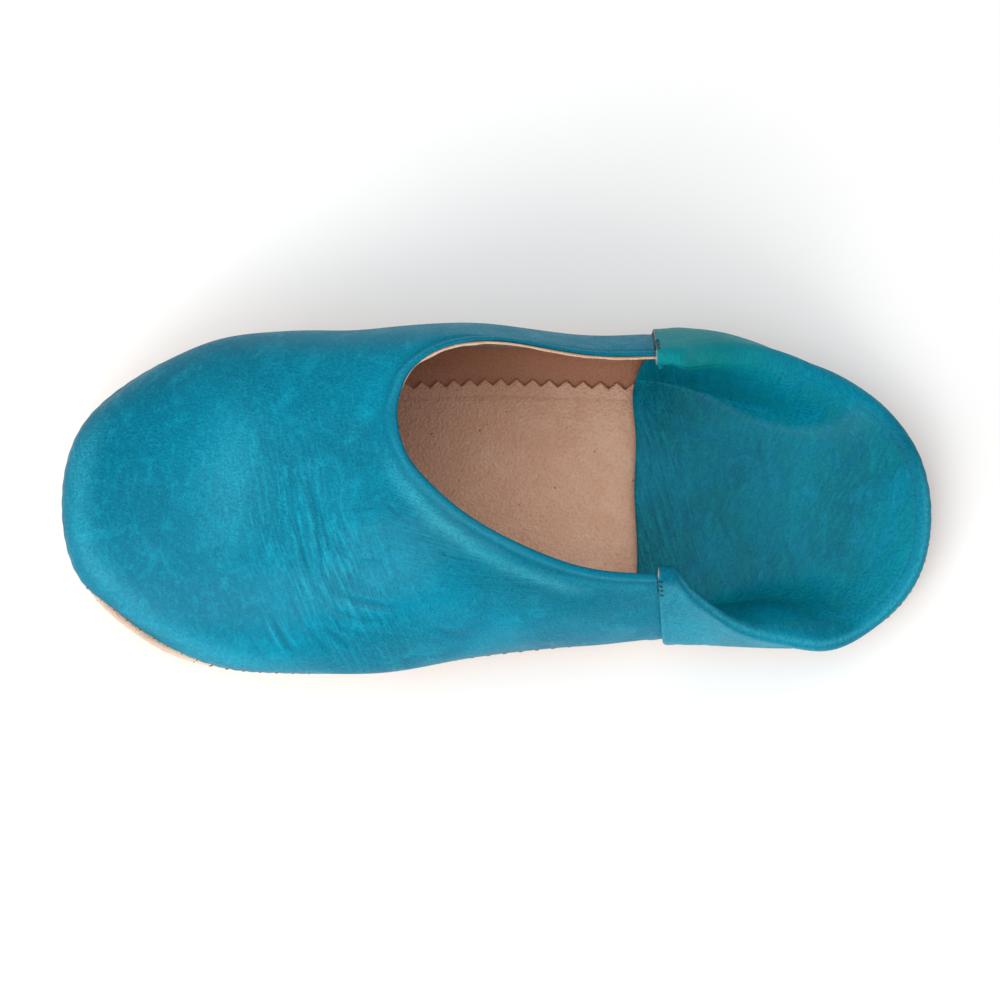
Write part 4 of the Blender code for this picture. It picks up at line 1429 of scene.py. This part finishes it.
def build_outsole():
    """The sole in one piece: its bottom from the middle out, up the side, over the edge and inside."""
    ways = ring_ways(SOLE_WAYS // 2)[::-1]
    edge = stitch_plan(ways)
    inward = -outward(ways)[:, :2]
    height, width = corner_size(edge[:, 0])
    middle = spine(ways)
    lines, to_edge = [], []

    for angle in np.linspace(math.pi / 2, 0.0, CORNER_STEPS + 1):
        plan = edge + inward * (width * (1 - math.sin(angle)))[:, None]
        rise = height * (1 - math.cos(angle))
        lines.append(np.column_stack((plan, sole_bottom(plan[:, 0]) + rise)))
        to_edge.append(height * math.cos(angle))
    start = edge + inward * (width + RING_STEP)[:, None]
    for share in np.linspace(0.0, 1.0, BOTTOM_STEPS):
        plan = start + (middle - start) * share**1.2
        lines.append(over_sole(plan, 0.0))
        to_edge.append(height + np.linalg.norm(plan - start, axis=1))
    outside = np.stack(lines, axis=1)
    outside = np.concatenate((stitch_line(ways)[:, None], outside), axis=1)
    to_edge = np.stack([np.zeros(len(ways))] + to_edge, axis=1)

    normals = closed_normals(outside)
    station = outside[..., 0] / LENGTH
    off_floor = ramp(outside[..., 2], *OFF_FLOOR)
    pinch = 1 - np.sin(from_stitch(ways) * math.pi / 2)[:, None]
    depth = -PINCH_DEPTH * bell(to_edge - STITCH_FALL, PINCH_REACH) * pinch
    pucker = PUCKER_HEIGHT * np.cos(math.pi * from_stitch(ways))[:, None]
    pucker = pucker * bell(to_edge - PUCKER_PLACE, PUCKER_REACH)
    lifted = undulation(outside * SOLE_WAVE_SCALES) * SOLE_UNEVEN * off_floor * ramp(to_edge, 0.0, SOLE_CALM)
    moved = outside + normals * (depth + pucker + lifted)[..., None]
    moved[..., 2] = np.maximum(moved[..., 2], 0.0)

    arch = spot(station, outside[..., 1], *ARCH_SPOT)
    fore = bell(station - PALE_FORE[0], PALE_FORE[1])
    heel = ramp(station, *DARK_HEEL)
    wear_and_highlight = sum(bell(station - place, WORN_REACH) for place in WORN_STATIONS)
    low = ramp(outside[..., 2], *NEAR_FLOOR)
    wide = ledge(ways)[:, None] / LEDGE_DEPTH
    soiled = np.clip(0.55 * low * wear_and_highlight + 0.5 * low * arch, 0.0, 0.8)
    soiled = np.maximum(soiled, STRIP_DIRT * wide * bell(to_edge, STRIP_REACH))
    stain_and_shade = np.stack((0.12 * fore - 0.14 * heel, 0.22 * fore - 0.18 * heel, soiled), axis=-1)
    looks = {
        "crease": (depth + 0.5 * pucker) / MM,
        "seam": np.minimum(to_edge / MM + 0.25 + 2 * wide, FAR_AWAY),
        "stain_and_shade": stain_and_shade,
    }
    piece = skin("outsole_leather", moved, SOLE_WALL, looks, SOLE, 0.3, closed=True)
    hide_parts("outsole")


# The insole: the band between the roots of its teeth and its face, the line pressed inside them (depth,
# place, width), its unevenness and where that is full, then the toe's painted shade and the paler part
# behind it, as lengths
ROOT_BAND = 0.0006
PRESSED_DEPTH = 0.00022
PRESSED_PLACE = 0.0030
PRESSED_WIDTH = 0.0007
INSOLE_UNEVEN = 0.35
INSOLE_CALM = 0.010
TOE_SHADE = (0.130, 0.095)
PALER_BEHIND_TOE = (0.12, 0.17)


def build_sock():
    """The insole with its pinked edge, a pressed line inside the teeth and soft unevenness."""
    near_length = side_lengths(SIDES[NEAR])[-1]
    far_length = side_lengths(SIDES[FAR])[-1]
    teeth = int(round((near_length + far_length) / 2 / TOOTH_PITCH))
    ways = ring_ways(teeth * TOOTH_SAMPLES)
    edge = stitch_plan(ways)
    inward = -outward(ways)[:, :2]
    turn = np.abs(ways) * teeth
    tooth = 1 - 2 * np.abs(turn - np.round(turn))
    pinked = edge + inward * (INSOLE_INSET + TOOTH_DEPTH * tooth)[:, None]
    root = edge + inward * (INSOLE_INSET + TOOTH_DEPTH + ROOT_BAND)
    middle = spine(ways)
    shares = np.linspace(0.0, 1.0, INSOLE_RINGS)[1:] ** 1.15
    height = SOLE_WALL + CLEARANCE + INSOLE_WALL
    lines, insets = [], []
    for share in (0.0, 0.5, 1.0):
        lines.append(over_sole(pinked + (root - pinked) * share, height))
        insets.append(np.full(len(ways), ROOT_BAND * share))
    for share in shares:
        plan = root + (middle - root) * share
        lines.append(over_sole(plan, height))
        insets.append(np.linalg.norm(plan - root, axis=1) + ROOT_BAND)
    points = np.stack(lines, axis=1)
    inset = np.stack(insets, axis=1)
    pressed = -PRESSED_DEPTH * bell(inset - PRESSED_PLACE, PRESSED_WIDTH)
    lifted = undulation(points) * INSOLE_UNEVEN * ramp(inset, 0.0, INSOLE_CALM)
    moved = points + UP * (pressed + lifted)[..., None]
    toe_shade = ramp(points[..., 0], *TOE_SHADE)
    paler_behind_toe = ramp(points[..., 0], *PALER_BEHIND_TOE)
    # Painted shade under the vamp at the toe, and a paler tint behind it
    stain_and_shade = np.stack((0.10 - 0.12 * toe_shade, 0.08 * paler_behind_toe, 0.20 * toe_shade), axis=-1)
    looks = {"crease": pressed / MM, "seam": zeros(points) + FAR_AWAY, "stain_and_shade": stain_and_shade}
    piece = skin("insole_leather", moved, INSOLE_WALL, looks, SOCK, 0.8, closed=True)
    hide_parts("insole")


def tubes(name, paths, facings, radius, material):
    """Short threads as one mesh. Facing is the direction that each stands out of the leather."""
    vertices, faces = [], []
    shares = np.linspace(0.0, 1.0, THREAD_STEPS + 1)
    turns = np.linspace(0.0, 2 * math.pi, THREAD_SIDES, endpoint=False)
    for path, facing in zip(paths, facings):
        knots = np.linspace(0.0, 1.0, len(path))
        line = spline(knots, path)(shares)
        forward = unit(np.gradient(line, axis=0))
        side = unit(np.cross(forward, facing))
        up = np.cross(side, forward)
        size = radius * (0.75 + 0.25 * np.sin(math.pi * shares))[:, None, None]
        circle = side[:, None] * np.cos(turns)[:, None] + up[:, None] * np.sin(turns)[:, None]
        first = len(vertices) * (THREAD_STEPS + 1) * THREAD_SIDES
        vertices.append((line[:, None] + circle * size).reshape(-1, 3))
        for i in range(THREAD_STEPS):
            near = first + i * THREAD_SIDES + np.arange(THREAD_SIDES)
            faces.append(strip_faces(near, near + THREAD_SIDES)[:, ::-1])
    return shown(name, np.concatenate(vertices), np.concatenate(faces), {}, material)


def build_sole_stitches():
    """One slanted stitch at each hole, from the sole's side over the seam into the upper."""
    paths, facings = [], []
    for side, count in STITCH_COUNTS.items():
        ways = -side * (np.arange(count) + 0.5) / count
        stations = stitch_plan(ways)[:, 0] / LENGTH
        ways = ways[(stations < HIDDEN_STITCHES[0]) | (stations > HIDDEN_STITCHES[1])]
        lean = STITCH_LEAN / side_lengths(SIDES[side])[-1] * -side
        out = outward(ways)
        inside = ledge(ways)[:, None] * out
        wide = ledge(ways)[:, None] / LEDGE_DEPTH
        low = stitch_line(ways - lean) - UP * STITCH_FALL * (1 - 0.7 * wide) - inside * 0.15
        high = stitch_line(ways + lean) + UP * (STITCH_RISE + CLEARANCE) - inside
        seam = stitch_line(ways) - inside * 0.50 + UP * wide * LEDGE_LIFT
        for i in range(len(ways)):
            sway = 0.12 * MM * math.sin(2.4 * i + side)
            shift = UP * sway
            paths.append([low[i] - out[i] * 0.0004 + shift, low[i] + out[i] * STITCH_STAND * 0.6,
                          seam[i] + out[i] * STITCH_STAND * 1.7, high[i] + out[i] * STITCH_STAND * 1.3,
                          high[i] - out[i] * 0.0005 + shift])
            facings.append(out[i])
    tubes("sole_stitches", paths, facings, THREAD_RADIUS, SOLE_THREAD)


def build_seam_stitches():
    """A few stitches over the counter's front edge near its top, and dashes of thread below them."""
    _, points = counter_points()
    normals = grid_normals(points)
    runs = column_runs(points)
    paths, facings = [], []
    for row, inner in ((0, 6), (len(points) - 1, len(points) - 7)):
        length = runs[row, WALL_STEPS]

        def on_edge(height, grid, line):
            return np.array([np.interp(height, runs[row], grid[line, :, k]) for k in range(3)])

        ticks = np.arange(length + 0.0008, length - SEAM_TOP, -SEAM_PITCH)
        for number, height in enumerate(ticks):
            edge = on_edge(height, points, row)
            normal = unit(on_edge(height, normals, row))
            back = unit(on_edge(height, points, inner) - edge)
            slant = UP * 0.35 * MM * (-1) ** number
            ahead = edge - back * SEAM_REACH[0] - normal * COUNTER_WALL
            start = edge + back * SEAM_REACH[1]
            paths.append([start - normal * 0.0005 + slant, start + normal * 0.0002 + slant,
                          edge + normal * 0.0001 - back * 0.0003, ahead + normal * 0.0004 - slant,
                          ahead - normal * 0.0004 - slant])
            facings.append(normal)
        for height in np.arange(0.0030, length - SEAM_TOP, DASH_PITCH):
            dash = []
            for share, sunk in ((0.0, 0.0006), (0.25, 0.0), (0.5, 0.0), (0.75, 0.0), (1.0, 0.0006)):
                at = height + share * DASH_LENGTH
                edge = on_edge(at, points, row)
                normal = unit(on_edge(at, normals, row))
                back = unit(on_edge(at, points, inner) - edge)
                dash.append(edge - back * 0.0006 - normal * (COUNTER_WALL + sunk - 0.0001))
            paths.append(dash)
            facings.append(normal)
    tubes("side_seam_stitches", paths, facings, SEAM_THREAD_RADIUS, SEAM_THREAD)


# The view: the shoe from above its inner side, as photographed
CAMERA_ELEVATION = 81.5
CAMERA_DISTANCE = 1.50
PICTURE_WIDTH = 0.3107
SENSOR = 36.0
AIM = (-0.0800, 0.0, 0.030)
FLOOR_SIZE = 6.0


def build_camera():
    camera = bpy.data.cameras.new("camera")
    camera.sensor_width = SENSOR
    camera.lens = SENSOR * CAMERA_DISTANCE / PICTURE_WIDTH
    camera.clip_end = 20.0
    holder = bpy.data.objects.new("camera", camera)
    angle = math.radians(CAMERA_ELEVATION)
    holder.location = (AIM[0], AIM[1] - CAMERA_DISTANCE * math.cos(angle),
                       AIM[2] + CAMERA_DISTANCE * math.sin(angle))
    holder.rotation_euler = (math.pi / 2 - angle, 0.0, 0.0)
    bpy.context.scene.collection.objects.link(holder)
    bpy.context.scene.camera = holder
    bpy.context.scene.view_settings.view_transform = "Standard"


LIGHTS = (
    # name, place, size, power, colour
    ("near_window", (-0.55, -1.05, 1.05), (1.0, 0.8), 10.0, (1.0, 0.99, 0.97)),
    ("toe_side", (-1.10, -0.80, 0.38), (0.9, 0.5), 6.0, (1.0, 1.0, 1.0)),
    ("overhead", (-0.20, 0.05, 1.70), (2.2, 2.0), 18.0, (1.0, 1.0, 1.0)),
)
WORLD_STRENGTH = 0.50


def build_light():
    for name, place, size, power, tint in LIGHTS:
        light = bpy.data.lights.new(name, "AREA")
        light.shape = "RECTANGLE"
        light.size, light.size_y = size
        light.energy = power
        light.color = tint
        holder = bpy.data.objects.new(name, light)
        aim = np.array(AIM) - place
        level = math.hypot(aim[0], aim[1])
        holder.location = place
        holder.rotation_euler = (math.atan2(level, -aim[2]), 0.0, math.atan2(aim[1], aim[0]) - math.pi / 2)
        bpy.context.scene.collection.objects.link(holder)
    world_light = bpy.data.worlds.new("studio")
    world_light.use_nodes = True
    background = world_light.node_tree.nodes["Background"]
    background.inputs["Color"].default_value = (1.0, 1.0, 1.0, 1.0)
    background.inputs["Strength"].default_value = WORLD_STRENGTH
    bpy.context.scene.world = world_light


def build_floor():
    half = FLOOR_SIZE / 2
    corners = [(-half, -half, 0.0), (half, -half, 0.0), (half, half, 0.0), (-half, half, 0.0)]
    mesh = bpy.data.meshes.new("floor")
    mesh.from_pydata(corners, [], [(0, 1, 2, 3)])
    f = Finish("pale_floor")
    place = f.place()
    tint = f.mix(f.span(f.noise(place, 9.0, 3.0), 0.3, 0.7), colour(244, 244, 244), colour(247, 247, 247))
    mesh.materials.append(f.shade(Base_Color=tint, Roughness=0.75, Specular_IOR_Level=0.2))
    floor = bpy.data.objects.new("floor", mesh)
    bpy.context.scene.collection.objects.link(floor)


build_vamp()
build_lining()
build_counter()
build_outsole()
build_sock()
build_sole_stitches()
build_seam_stitches()
build_camera()
build_light()
build_floor()
